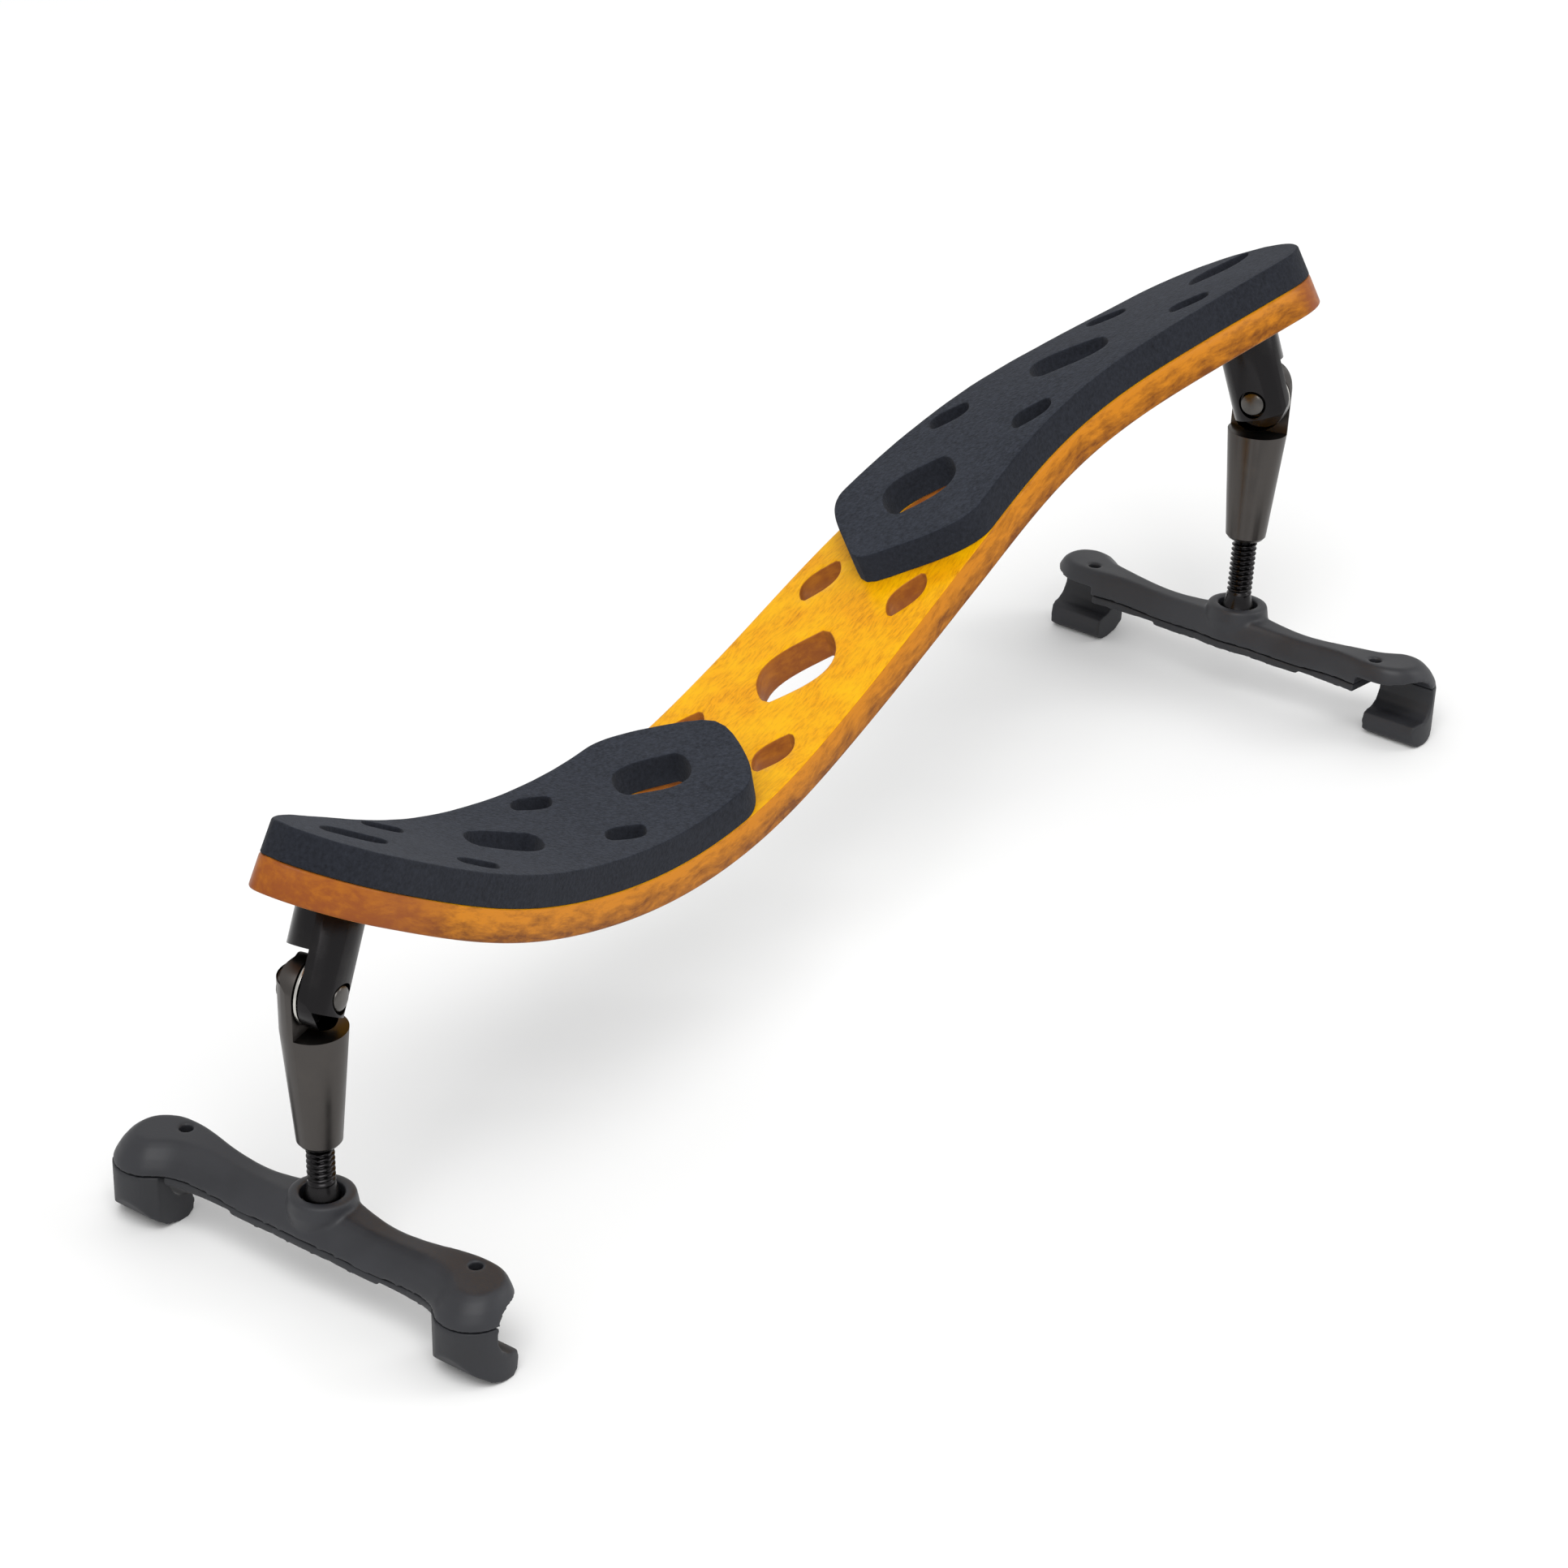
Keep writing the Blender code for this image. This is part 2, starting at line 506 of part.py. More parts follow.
def make_leg(side, plate, mount, lean, lean_towards, stance, turn, inward):
    """Builds a leg from its mount down to the ground.

    mount: where it meets the plate's underside, along and across.
    stance, turn: degrees that the lower leg and its fork lean to +X, and turn about +Z.
    lean, lean_towards: the knuckle's angle from the lower leg and the way it leans, in degrees
    round the leg from +X. The hinge pin is square to both.
    """
    leg = Matrix.Rotation(math.radians(turn), 3, "Z") @ Matrix.Rotation(math.radians(stance), 3, "Y")
    hinge = leg @ Matrix.Rotation(math.radians(lean_towards), 3, "Z")
    knuckle = hinge @ Matrix.Rotation(math.radians(lean), 3, "Y")
    fork = leg @ Matrix.Rotation(math.radians(inward), 3, "Z")
    pin = on_plate(*mount, SEAT_DEPTH - PLATE_THICK) - knuckle.col[2] * KNUCKLE_LENGTH
    # The lowest point of the leaning fork's claws touches the ground.
    lift = -min((fork @ Vector((q * MM, 0, z * MM))).z for q, z in CLAW_SECTION)
    pin_height = (pin.z - lift) / leg.col[2].z
    foot = pin - leg.col[2] * pin_height
    knuckle_frame = new_empty(side + "_knuckle_frame", pin, knuckle)
    hinge_frame = new_empty(side + "_hinge_frame", pin, hinge)
    foot_frame = new_empty(side + "_foot_frame", foot, leg)
    fork_frame = new_empty(side + "_fork_axis", foot, fork)
    make_upper_knuckle(side, knuckle_frame)
    make_socket_insert(side, knuckle_frame, plate)
    make_hinge_pieces(side, hinge_frame)
    make_sleeve(side, hinge_frame)
    make_screw_pieces(side, foot_frame, pin_height - SCREW_TOP)
    make_fork(side, fork_frame, ("near", "far") if inward == 0 else ("far", "near"))
    for word, vector in (("pin", pin), ("foot", foot), ("knuckle axis", knuckle.col[2]),
                         ("hinge axis", hinge.col[1]), ("leg axis", leg.col[2])):
        print(side, word, [round(v, 6) for v in vector])


def main():
    clear_scene()
    plate = make_plate()
    make_pad("long_foam_pad", LONG_PAD_NOSE, 1.3, PLATE_TO, 2, 6)
    make_pad("short_foam_pad", SHORT_PAD_NOSE, 1.0, PLATE_FROM, -6, -2)
    make_leg("left", plate, (-103.6 * MM, 1.3 * MM), lean=31, lean_towards=13, stance=0, turn=-1,
             inward=0)
    make_leg("right", plate, (106.8 * MM, 0.3 * MM), lean=-20, lean_towards=-76, stance=7.5, turn=1,
             inward=180)


main()
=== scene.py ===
# Violin shoulder rest: the finished surfaces of every piece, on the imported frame.
import json
import math

import bmesh
import bpy
import numpy as np
from mathutils import Matrix, Vector, kdtree, noise

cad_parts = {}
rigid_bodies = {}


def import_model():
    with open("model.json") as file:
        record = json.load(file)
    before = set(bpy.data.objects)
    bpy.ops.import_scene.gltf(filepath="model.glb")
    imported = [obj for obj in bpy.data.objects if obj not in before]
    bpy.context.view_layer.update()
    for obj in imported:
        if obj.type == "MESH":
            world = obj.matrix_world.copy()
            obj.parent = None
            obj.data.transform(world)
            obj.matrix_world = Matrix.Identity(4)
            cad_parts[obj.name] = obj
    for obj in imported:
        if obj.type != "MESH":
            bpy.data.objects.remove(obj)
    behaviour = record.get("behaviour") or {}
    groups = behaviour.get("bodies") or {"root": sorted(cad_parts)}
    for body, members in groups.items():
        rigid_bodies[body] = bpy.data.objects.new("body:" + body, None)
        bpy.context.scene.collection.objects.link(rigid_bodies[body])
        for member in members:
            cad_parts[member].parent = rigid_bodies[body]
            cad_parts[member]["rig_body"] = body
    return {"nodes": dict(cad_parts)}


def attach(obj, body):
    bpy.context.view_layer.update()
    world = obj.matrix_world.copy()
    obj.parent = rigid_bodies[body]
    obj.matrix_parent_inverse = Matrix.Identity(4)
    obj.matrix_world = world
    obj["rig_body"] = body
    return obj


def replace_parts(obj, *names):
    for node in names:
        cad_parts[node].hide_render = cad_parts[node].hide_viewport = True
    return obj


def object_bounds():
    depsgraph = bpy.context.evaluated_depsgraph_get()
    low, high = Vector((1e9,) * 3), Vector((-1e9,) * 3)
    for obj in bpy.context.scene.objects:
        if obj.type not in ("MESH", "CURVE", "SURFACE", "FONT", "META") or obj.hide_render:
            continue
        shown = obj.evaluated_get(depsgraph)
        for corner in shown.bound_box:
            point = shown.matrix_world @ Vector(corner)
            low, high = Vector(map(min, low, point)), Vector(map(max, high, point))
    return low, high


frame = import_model()
cadBox = [list(corner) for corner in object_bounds()]
mm = 0.001
print("frame loaded:", len(frame["nodes"]), "nodes")


# Small tools for meshes, cuts and nodes.

def toLinear(code):
    channels = [int(code[i:i + 2], 16) / 255 for i in (1, 3, 5)]
    return [c / 12.92 if c <= 0.04045 else ((c + 0.055) / 1.055) ** 2.4 for c in channels] + [1]


def addNode(tree, kind, settings=None, values=None, links=None):
    node = tree.nodes.new(kind)
    for name, value in (settings or {}).items():
        setattr(node, name, value)
    for name, value in (values or {}).items():
        node.inputs[name].default_value = value
    for name, socket in (links or {}).items():
        tree.links.new(socket, node.inputs[name])
    return node


def newMaterial(name, shaderValues):
    material = bpy.data.materials.new(name)
    material.use_nodes = True
    tree = material.node_tree
    shader = tree.nodes["Principled BSDF"]
    for key, value in shaderValues.items():
        shader.inputs[key].default_value = value
    return material, tree, shader


def newPiece(name, bm, material, angle=35):
    bmesh.ops.recalc_face_normals(bm, faces=bm.faces)
    mesh = bpy.data.meshes.new(name)
    bm.to_mesh(mesh)
    bm.free()
    piece = bpy.data.objects.new(name, mesh)
    bpy.context.scene.collection.objects.link(piece)
    mesh.materials.append(material)
    mesh.shade_smooth()
    if angle:
        mesh.set_sharp_from_angle(angle=math.radians(angle))
    return piece


def applyModifiers(piece):
    graph = bpy.context.evaluated_depsgraph_get()
    mesh = bpy.data.meshes.new_from_object(piece.evaluated_get(graph), depsgraph=graph)
    old = piece.data
    piece.modifiers.clear()
    piece.data = mesh
    mesh.name = piece.name
    bpy.data.meshes.remove(old)


def cut(piece, bm, operation="DIFFERENCE"):
    cutter = newPiece("cutter", bm, piece.data.materials[0], None)
    modifier = piece.modifiers.new("cut", "BOOLEAN")
    modifier.operation, modifier.solver, modifier.object = operation, "EXACT", cutter
    applyModifiers(piece)
    bpy.data.objects.remove(cutter)
    if not piece.data.polygons:
        raise RuntimeError(piece.name + " was cut away whole")


def softenEdges(piece, width, angle=32):
    # a machined edge is never quite sharp, and the thin facet is what catches the light
    piece.modifiers.new("weld", "WELD").merge_threshold = 0.015 * mm
    bevel = piece.modifiers.new("bevel", "BEVEL")
    bevel.width, bevel.segments, bevel.limit_method = width, 2, "ANGLE"
    bevel.angle_limit = math.radians(angle)
    applyModifiers(piece)
    piece.data.shade_smooth()
    piece.data.set_sharp_from_angle(angle=math.radians(40))


def moulded(piece, voxel, passes):
    # rounds every edge of a moulded piece a little, as the tool's own corners do
    remesh = piece.modifiers.new("remesh", "REMESH")
    remesh.mode, remesh.voxel_size, remesh.use_smooth_shade = "VOXEL", voxel, True
    smooth = piece.modifiers.new("smooth", "SMOOTH")
    smooth.factor, smooth.iterations = 0.5, passes
    applyModifiers(piece)
    piece.data.shade_smooth()


def turned(profile, sides=72, along="Z"):
    # (radius, height) points round an axis; from radius 0 to radius 0 it is solid, otherwise a ring
    bm = bmesh.new()
    spin = Matrix.Rotation(math.pi / 2, 4, "X") if along == "Y" else Matrix.Identity(4)
    rings = []
    for radius, height in profile:
        count = sides if radius > 0 else 1
        rings.append([
            bm.verts.new(spin @ Vector((radius * math.cos(2 * math.pi * i / count),
                                        radius * math.sin(2 * math.pi * i / count), height)))
            for i in range(count)])
    pairs = list(zip(rings, rings[1:]))
    if len(rings[0]) > 1:
        pairs.append((rings[-1], rings[0]))
    for a, b in pairs:
        for i in range(sides):
            j = (i + 1) % sides
            corners = [a[i % len(a)], a[j % len(a)], b[j % len(b)], b[i % len(b)]]
            bm.faces.new(list(dict.fromkeys(corners)))
    return bm


def filleted(profile, radius, steps=3, ring=False):
    # rounds the corners of a profile; its two ends stay where they are unless it is a ring
    points = [Vector(p) for p in profile]
    made = []
    for i, point in enumerate(points):
        if not ring and i in (0, len(points) - 1):
            made.append(tuple(point))
            continue
        before, after = points[i - 1], points[(i + 1) % len(points)]
        reach = min(radius, (before - point).length * 0.45, (after - point).length * 0.45)
        start = point + (before - point).normalized() * reach
        end = point + (after - point).normalized() * reach
        for k in range(steps + 1):
            t = k / steps
            made.append(tuple(start * (1 - t) ** 2 + point * (2 * t * (1 - t)) + end * t ** 2))
    return made


def prism(outline, low, high, axes="XY"):
    bm = bmesh.new()
    place = {"XY": lambda u, v, w: (u, v, w), "XZ": lambda u, v, w: (u, w, v)}[axes]
    ends = [[bm.verts.new(place(u, v, w)) for u, v in outline] for w in (low, high)]
    for end in ends:
        bm.faces.new(end)
    for i in range(len(outline)):
        j = (i + 1) % len(outline)
        bm.faces.new((ends[0][i], ends[0][j], ends[1][j], ends[1][i]))
    return bm


def rectangle(u0, u1, v0, v1):
    return [(u0, v0), (u1, v0), (u1, v1), (u0, v1)]


def placed(bm, matrix):
    bm.transform(matrix)
    return bm


def catmullRom(values, where):
    values = np.asarray(values, float)
    last = len(values) - 1
    x = np.clip(where, 0, 1) * last
    i = np.clip(np.floor(x).astype(int), 0, last - 1)
    f = x - i
    a, b, c, d = (values[np.clip(i + k, 0, last)] for k in (-1, 0, 1, 2))
    return b + 0.5 * f * (c - a + f * (2 * a - 5 * b + 4 * c - d + f * (3 * (b - c) + d - a)))


def closedCurve(points, perSpan):
    n = len(points)
    outline = []
    for i in range(n):
        four = np.array([points[(i + k) % n] for k in (-1, 0, 1, 2)], float)
        for step in range(perSpan):
            where = np.full(1, (1 + step / perSpan) / 3)
            outline.append(tuple(float(catmullRom(four[:, k], where)[0]) for k in (0, 1)))
    return outline


# Materials, each from what the real one is.

woodLook = {
    "amber": "#eca202", "gold": "#fbc000", "fleck": "#a05808",   # the face
    "sideLight": "#c47a18", "sideDark": "#74400f",               # the long sides
    "wall": "#84461a", "end": "#8c4a22",                         # hole walls and both ends
    "fleckLength": 1.3, "fleckWidth": 0.27,                      # mm
}


def makeWood():
    # Maple, amber stained and varnished: a yellow face with short brown flecks of figure, brown where
    # the stain soaked into end grain, under a clear coat that gives soft wide highlights.
    material, tree, shader = newMaterial("varnishedMaple", {
        "Roughness": 0.4, "IOR": 1.5, "Specular IOR Level": 0.08, "Coat Weight": 0.08, "Coat Roughness": 0.16,
        "Coat IOR": 1.52})
    flat = addNode(tree, "ShaderNodeAttribute", {"attribute_name": "flat"}).outputs["Vector"]
    wall = addNode(tree, "ShaderNodeAttribute", {"attribute_name": "wall"}).outputs["Fac"]
    hole = addNode(tree, "ShaderNodeAttribute", {"attribute_name": "hole"}).outputs["Fac"]
    end = addNode(tree, "ShaderNodeAttribute", {"attribute_name": "end"}).outputs["Fac"]
    # broad cloudiness about 9 mm across
    cloud = addNode(tree, "ShaderNodeTexNoise", values={"Scale": 1 / (9 * mm), "Detail": 4, "Roughness": 0.6},
                    links={"Vector": flat})
    # flecks: long along the plate, narrow across it, bent about by the cloud
    swirl = addNode(tree, "ShaderNodeTexNoise", values={"Scale": 1 / (14 * mm), "Detail": 2},
                    links={"Vector": flat})
    bent = addNode(tree, "ShaderNodeVectorMath", {"operation": "MULTIPLY_ADD"},
                   {1: (0.004, 0.004, 0.004)}, {0: swirl.outputs["Color"], 2: flat})
    stretched = addNode(tree, "ShaderNodeMapping", values={
        "Scale": (1 / (woodLook["fleckLength"] * mm), 1 / (woodLook["fleckWidth"] * mm), 1 / (0.6 * mm))},
        links={"Vector": bent.outputs["Vector"]})
    flecks = addNode(tree, "ShaderNodeTexNoise", values={"Scale": 0.75, "Detail": 5, "Roughness": 0.75},
                     links={"Vector": stretched.outputs["Vector"]})
    fleckMask = addNode(tree, "ShaderNodeMapRange",
                        values={"From Min": 0.45, "From Max": 0.72, "To Max": 0.8},
                        links={"Value": flecks.outputs["Fac"]})
    patches = addNode(tree, "ShaderNodeMapRange", values={"From Min": 0.36, "From Max": 0.62, "To Min": 0.35},
                      links={"Value": cloud.outputs["Fac"]})
    face = addNode(tree, "ShaderNodeMix", {"data_type": "RGBA"},
                   {6: toLinear(woodLook["gold"]), 7: toLinear(woodLook["amber"])},
                   {0: patches.outputs["Result"]})
    fleckShare = addNode(tree, "ShaderNodeMath", {"operation": "MULTIPLY"}, {},
                         {0: fleckMask.outputs["Result"], 1: patches.outputs["Result"]})
    face = addNode(tree, "ShaderNodeMix", {"data_type": "RGBA"}, {7: toLinear(woodLook["fleck"])},
                   {0: fleckShare.outputs["Value"], 6: face.outputs[2]})
    # the long sides: blotches of stain, streaked along the plate, and the colour ramped darker towards the
    # bottom
    sideStretch = addNode(tree, "ShaderNodeMapping",
                          values={"Scale": (1 / (3.2 * mm), 1 / (1 * mm), 1 / (0.9 * mm))},
                          links={"Vector": bent.outputs["Vector"]})
    blotches = addNode(tree, "ShaderNodeTexNoise", values={"Scale": 0.8, "Detail": 5, "Roughness": 0.68},
                       links={"Vector": sideStretch.outputs["Vector"]})
    depth = addNode(tree, "ShaderNodeSeparateXYZ", links={0: flat})
    low = addNode(tree, "ShaderNodeMapRange", values={"From Min": -4.6 * mm, "From Max": -0.6 * mm,
                                                      "To Min": 0.2, "To Max": -0.12},
                  links={"Value": depth.outputs["Z"]})
    mixed = addNode(tree, "ShaderNodeMath", {"operation": "ADD"}, {},
                    {0: blotches.outputs["Fac"], 1: low.outputs["Result"]})
    sideMask = addNode(tree, "ShaderNodeMapRange", values={"From Min": 0.38, "From Max": 0.74},
                       links={"Value": mixed.outputs["Value"]})
    side = addNode(tree, "ShaderNodeMix", {"data_type": "RGBA"},
                   {6: toLinear(woodLook["sideLight"]), 7: toLinear(woodLook["sideDark"])},
                   {0: sideMask.outputs["Result"]})
    body = addNode(tree, "ShaderNodeMix", {"data_type": "RGBA"}, {},
                   {0: wall, 6: face.outputs[2], 7: side.outputs[2]})
    # hole walls and the two ends take the stain deepest
    grainy = addNode(tree, "ShaderNodeMapRange",
                     values={"From Min": 0.3, "From Max": 0.7, "To Min": 0.62, "To Max": 1},
                     links={"Value": blotches.outputs["Fac"]})
    holeShare = addNode(tree, "ShaderNodeMath", {"operation": "MULTIPLY"}, {},
                        {0: hole, 1: grainy.outputs["Result"]})
    body = addNode(tree, "ShaderNodeMix", {"data_type": "RGBA"}, {7: toLinear(woodLook["wall"])},
                   {0: holeShare.outputs["Value"], 6: body.outputs[2]})
    endShare = addNode(tree, "ShaderNodeMath", {"operation": "MULTIPLY"}, {},
                       {0: end, 1: grainy.outputs["Result"]})
    body = addNode(tree, "ShaderNodeMix", {"data_type": "RGBA"}, {7: toLinear(woodLook["end"])},
                   {0: endShare.outputs["Value"], 6: body.outputs[2]})
    tree.links.new(body.outputs[2], shader.inputs["Base Color"])
    bump = addNode(tree, "ShaderNodeBump", values={"Strength": 0.12, "Distance": 0.05 * mm},
                   links={"Height": flecks.outputs["Fac"]})
    tree.links.new(bump.outputs["Normal"], shader.inputs["Normal"])
    return material


def makeFoam():
    # Closed-cell rubber foam, die cut: a dry charcoal skin of fine cells, with cut walls a shade darker.
    # Real cells are about 0.2 mm; they are drawn at 0.45 mm so that the grain shows.
    material, tree, shader = newMaterial("closedCellFoam", {
        "Roughness": 0.95, "IOR": 1.45, "Specular IOR Level": 0.12, "Sheen Weight": 0.03,
        "Sheen Roughness": 0.6})
    flat = addNode(tree, "ShaderNodeAttribute", {"attribute_name": "flat"}).outputs["Vector"]
    wall = addNode(tree, "ShaderNodeAttribute", {"attribute_name": "wall"}).outputs["Fac"]
    cells = addNode(tree, "ShaderNodeTexVoronoi", {"feature": "F1"}, {"Scale": 1 / (0.45 * mm)},
                    {"Vector": flat})
    grain = addNode(tree, "ShaderNodeTexNoise",
                    values={"Scale": 1 / (0.6 * mm), "Detail": 4, "Roughness": 0.7},
                    links={"Vector": flat})
    cloud = addNode(tree, "ShaderNodeTexNoise", values={"Scale": 1 / (12 * mm), "Detail": 3},
                    links={"Vector": flat})
    speck = addNode(tree, "ShaderNodeMapRange", values={"From Min": 0.25, "From Max": 0.75},
                    links={"Value": grain.outputs["Fac"]})
    skin = addNode(tree, "ShaderNodeMix", {"data_type": "RGBA"},
                   {6: toLinear("#16181d"), 7: toLinear("#383c46")}, {0: speck.outputs["Result"]})
    worn = addNode(tree, "ShaderNodeMapRange", values={"From Min": 0.35, "From Max": 0.7, "To Max": 0.22},
                   links={"Value": cloud.outputs["Fac"]})
    skin = addNode(tree, "ShaderNodeMix", {"data_type": "RGBA"}, {7: toLinear("#3a3d45")},
                   {0: worn.outputs["Result"], 6: skin.outputs[2]})
    wallShare = addNode(tree, "ShaderNodeMath", {"operation": "MULTIPLY"}, {1: 0.55}, {0: wall})
    skin = addNode(tree, "ShaderNodeMix", {"data_type": "RGBA"}, {7: toLinear("#17181d")},
                   {0: wallShare.outputs["Value"], 6: skin.outputs[2]})
    tree.links.new(skin.outputs[2], shader.inputs["Base Color"])
    height = addNode(tree, "ShaderNodeMath", {"operation": "ADD"}, {},
                     {0: cells.outputs["Distance"], 1: grain.outputs["Fac"]})
    bump = addNode(tree, "ShaderNodeBump", values={"Strength": 0.55, "Distance": 0.12 * mm},
                   links={"Height": height.outputs["Value"]})
    tree.links.new(bump.outputs["Normal"], shader.inputs["Normal"])
    return material


def makeMetal(name, colour, roughness, scratch, variation, light):
    # metallic, with the faint rings a lathe leaves; the colour lifts a little where it has rubbed
    material, tree, shader = newMaterial(name, {"Metallic": 1.0, "Roughness": roughness})
    where = addNode(tree, "ShaderNodeTexCoord").outputs["Object"]
    rings = addNode(tree, "ShaderNodeMapping", values={"Scale": (60, 60, 1 / (0.22 * mm))},
                    links={"Vector": where})
    lines = addNode(tree, "ShaderNodeTexNoise", values={"Scale": 1.0, "Detail": 2},
                    links={"Vector": rings.outputs[0]})
    smudge = addNode(tree, "ShaderNodeTexNoise", values={"Scale": 1 / (4 * mm), "Detail": 4},
                     links={"Vector": where})
    rough = addNode(tree, "ShaderNodeMapRange", values={
        "From Min": 0.3, "From Max": 0.7, "To Min": roughness - variation, "To Max": roughness + variation},
        links={"Value": smudge.outputs["Fac"]})
    tree.links.new(rough.outputs["Result"], shader.inputs["Roughness"])
    rubbed = addNode(tree, "ShaderNodeMapRange", values={"From Min": 0.5, "From Max": 0.75, "To Max": 0.35},
                     links={"Value": smudge.outputs["Fac"]})
    tint = addNode(tree, "ShaderNodeMix", {"data_type": "RGBA"}, {6: toLinear(colour), 7: toLinear(light)},
                   {0: rubbed.outputs["Result"]})
    tree.links.new(tint.outputs[2], shader.inputs["Base Color"])
    bump = addNode(tree, "ShaderNodeBump", values={"Strength": scratch, "Distance": 0.02 * mm},
                   links={"Height": lines.outputs["Fac"]})
    tree.links.new(bump.outputs["Normal"], shader.inputs["Normal"])
    return material


def makePlastic(name, dark, light, roughness, grain):
    # a spark-eroded mould leaves a fine even grain that breaks the shine into a soft sheen
    material, tree, shader = newMaterial(name, {"Roughness": roughness, "IOR": 1.5})
    where = addNode(tree, "ShaderNodeTexCoord").outputs["Object"]
    fine = addNode(tree, "ShaderNodeTexNoise", values={"Scale": 1 / (0.3 * mm), "Detail": 3},
                   links={"Vector": where})
    broad = addNode(tree, "ShaderNodeTexNoise", values={"Scale": 1 / (7 * mm), "Detail": 4},
                    links={"Vector": where})
    dusty = addNode(tree, "ShaderNodeMapRange", values={"From Min": 0.35, "From Max": 0.7},
                    links={"Value": broad.outputs["Fac"]})
    colour = addNode(tree, "ShaderNodeMix", {"data_type": "RGBA"}, {6: toLinear(dark), 7: toLinear(light)},
                     {0: dusty.outputs["Result"]})
    tree.links.new(colour.outputs[2], shader.inputs["Base Color"])
    rough = addNode(tree, "ShaderNodeMapRange", values={
        "From Min": 0.3, "From Max": 0.7, "To Min": roughness - 0.07, "To Max": roughness + 0.07},
        links={"Value": broad.outputs["Fac"]})
    tree.links.new(rough.outputs["Result"], shader.inputs["Roughness"])
    bump = addNode(tree, "ShaderNodeBump", values={"Strength": grain, "Distance": 0.05 * mm},
                   links={"Height": fine.outputs["Fac"]})
    tree.links.new(bump.outputs["Normal"], shader.inputs["Normal"])
    return material


maple = makeWood()
foam = makeFoam()
# Black anodised aluminium, turned and polished: near black, with clear narrow highlights.
anodised = makeMetal("blackAnodisedAluminium", "#2b2a2b", 0.26, 0.12, 0.05, "#3a3938")
# The same aluminium, bead blasted before it was dyed: a dark warm grey with broad soft highlights.
satin = makeMetal("satinAnodisedAluminium", "#4c4947", 0.35, 0.1, 0.05, "#575350")
# Blackened steel, for the domed pins: darker than bare steel, lighter than the knuckles round it. On the claw
# pin tops its darkness also stands in for the shade down the dot holes: painted shade.
gunmetal = makeMetal("blackenedSteelAndHoleShade", "#565452", 0.3, 0.08, 0.06, "#7a7672")
# Zinc-plated steel, stamped: the thin bright line between the tongues.
steel = makeMetal("zincPlatedSteel", "#bdbbb6", 0.28, 0.15, 0.08, "#d8d6d0")
# Brass, turned and left bare: a warm yellow in the hub and the socket.
brass = makeMetal("turnedBrass", "#b08d4c", 0.32, 0.2, 0.08, "#c9a768")
# Glass-filled nylon, moulded: charcoal with a satin grain.
nylon = makePlastic("mouldedNylon", "#1a1b20", "#25262b", 0.5, 0.25)
# Rubber, moulded: darker and flatter than the nylon it grips.
rubber = makePlastic("mouldedRubber", "#18191d", "#222328", 0.6, 0.3)
print("materials made")


# The plate and its pads.

plateShape = {
    "from": -122 * mm, "to": 113.6 * mm, "thick": 4.6 * mm, "tip": 13 * mm,
    "middle": (2.8 * mm, 4.5 * mm, 42.9 * mm), "yaw": 1.7,
    "slope": (-31, -29, -15.5, 2, 14.5, 17.5, 11.5, 2.5, 1.5),       # degrees, at nine even stations
    "twist": (-1.5, 0, 2.5, 5, 8, 13, 20, 24, 27.5),
    "nearHalf": (9, 13, 14, 14.3, 13.8, 13.9, 13.1, 14.2, 17),       # mm
    "farHalf": (5, 11, 13.5, 13.4, 13.3, 13.1, 12.6, 12.6, 13.5),
    "sideways": (-1.8, -1.5, -0.7, 0.1, 1.7, 2.9, 2.6, -0.5, -2.4),
    "pitch": 17.6 * mm, "bigHole": (15.6 * mm, 9.6 * mm), "smallHole": (8.8 * mm, 4.5 * mm),
    "endHole": (16.0 * mm, 5.6 * mm), "pairOffset": 8.0 * mm, "holeSkew": 0.8, "padHoleShare": (0.84, 1.04),
    "edgeRound": 0.4 * mm,
}
padShape = {"top": 4.6 * mm, "gap": 0.1 * mm, "edge": 0.15 * mm, "nose": 15.6 * mm, "edgeRound": 0.4 * mm,
            "noseRound": 6, "unevenness": 0.06 * mm}

along = np.linspace(plateShape["from"], plateShape["to"], 471)
slopes = np.radians(catmullRom(plateShape["slope"], (along - along[0]) / (along[-1] - along[0])))
steps = np.diff(along)
run = np.concatenate([[0], np.cumsum(steps * np.cos((slopes[1:] + slopes[:-1]) / 2))])
rise = np.concatenate([[0], np.cumsum(steps * np.sin((slopes[1:] + slopes[:-1]) / 2))])
run -= np.interp(0, along, run)
rise -= np.interp(0, along, rise)
knownFrames = {}


def whereOnPlate(s):
    return np.array((s - plateShape["from"]) / (plateShape["to"] - plateShape["from"]))


def plateFrame(s):
    # centre of the top face, the way across to the far side, and the normal
    key = round(s, 7)
    if key not in knownFrames:
        t = whereOnPlate(s)
        slope, twist = (math.radians(float(catmullRom(plateShape[k], t))) for k in ("slope", "twist"))
        bow = float(catmullRom(plateShape["sideways"], t)) * mm
        yaw = Matrix.Rotation(math.radians(plateShape["yaw"]), 3, "Z")
        upright = Vector((-math.sin(slope), 0, math.cos(slope)))
        side = Vector((0, 1, 0))
        across = side * math.cos(twist) - upright * math.sin(twist)
        normal = upright * math.cos(twist) + side * math.sin(twist)
        centre = Vector((float(np.interp(s, along, run)), bow, float(np.interp(s, along, rise))))
        knownFrames[key] = (Vector(plateShape["middle"]) + yaw @ centre, yaw @ across, yaw @ normal)
    return knownFrames[key]


def onPlate(s, across, height):
    centre, side, normal = plateFrame(s)
    return centre + side * across + normal * height


def halfWidth(s, side):
    half = float(catmullRom(plateShape["nearHalf" if side < 0 else "farHalf"], whereOnPlate(s))) * mm
    beyond = max(plateShape["from"] + plateShape["tip"] - s, s - (plateShape["to"] - plateShape["tip"]), 0)
    return half * math.sqrt(max(0, 1 - (beyond / plateShape["tip"]) ** 2))


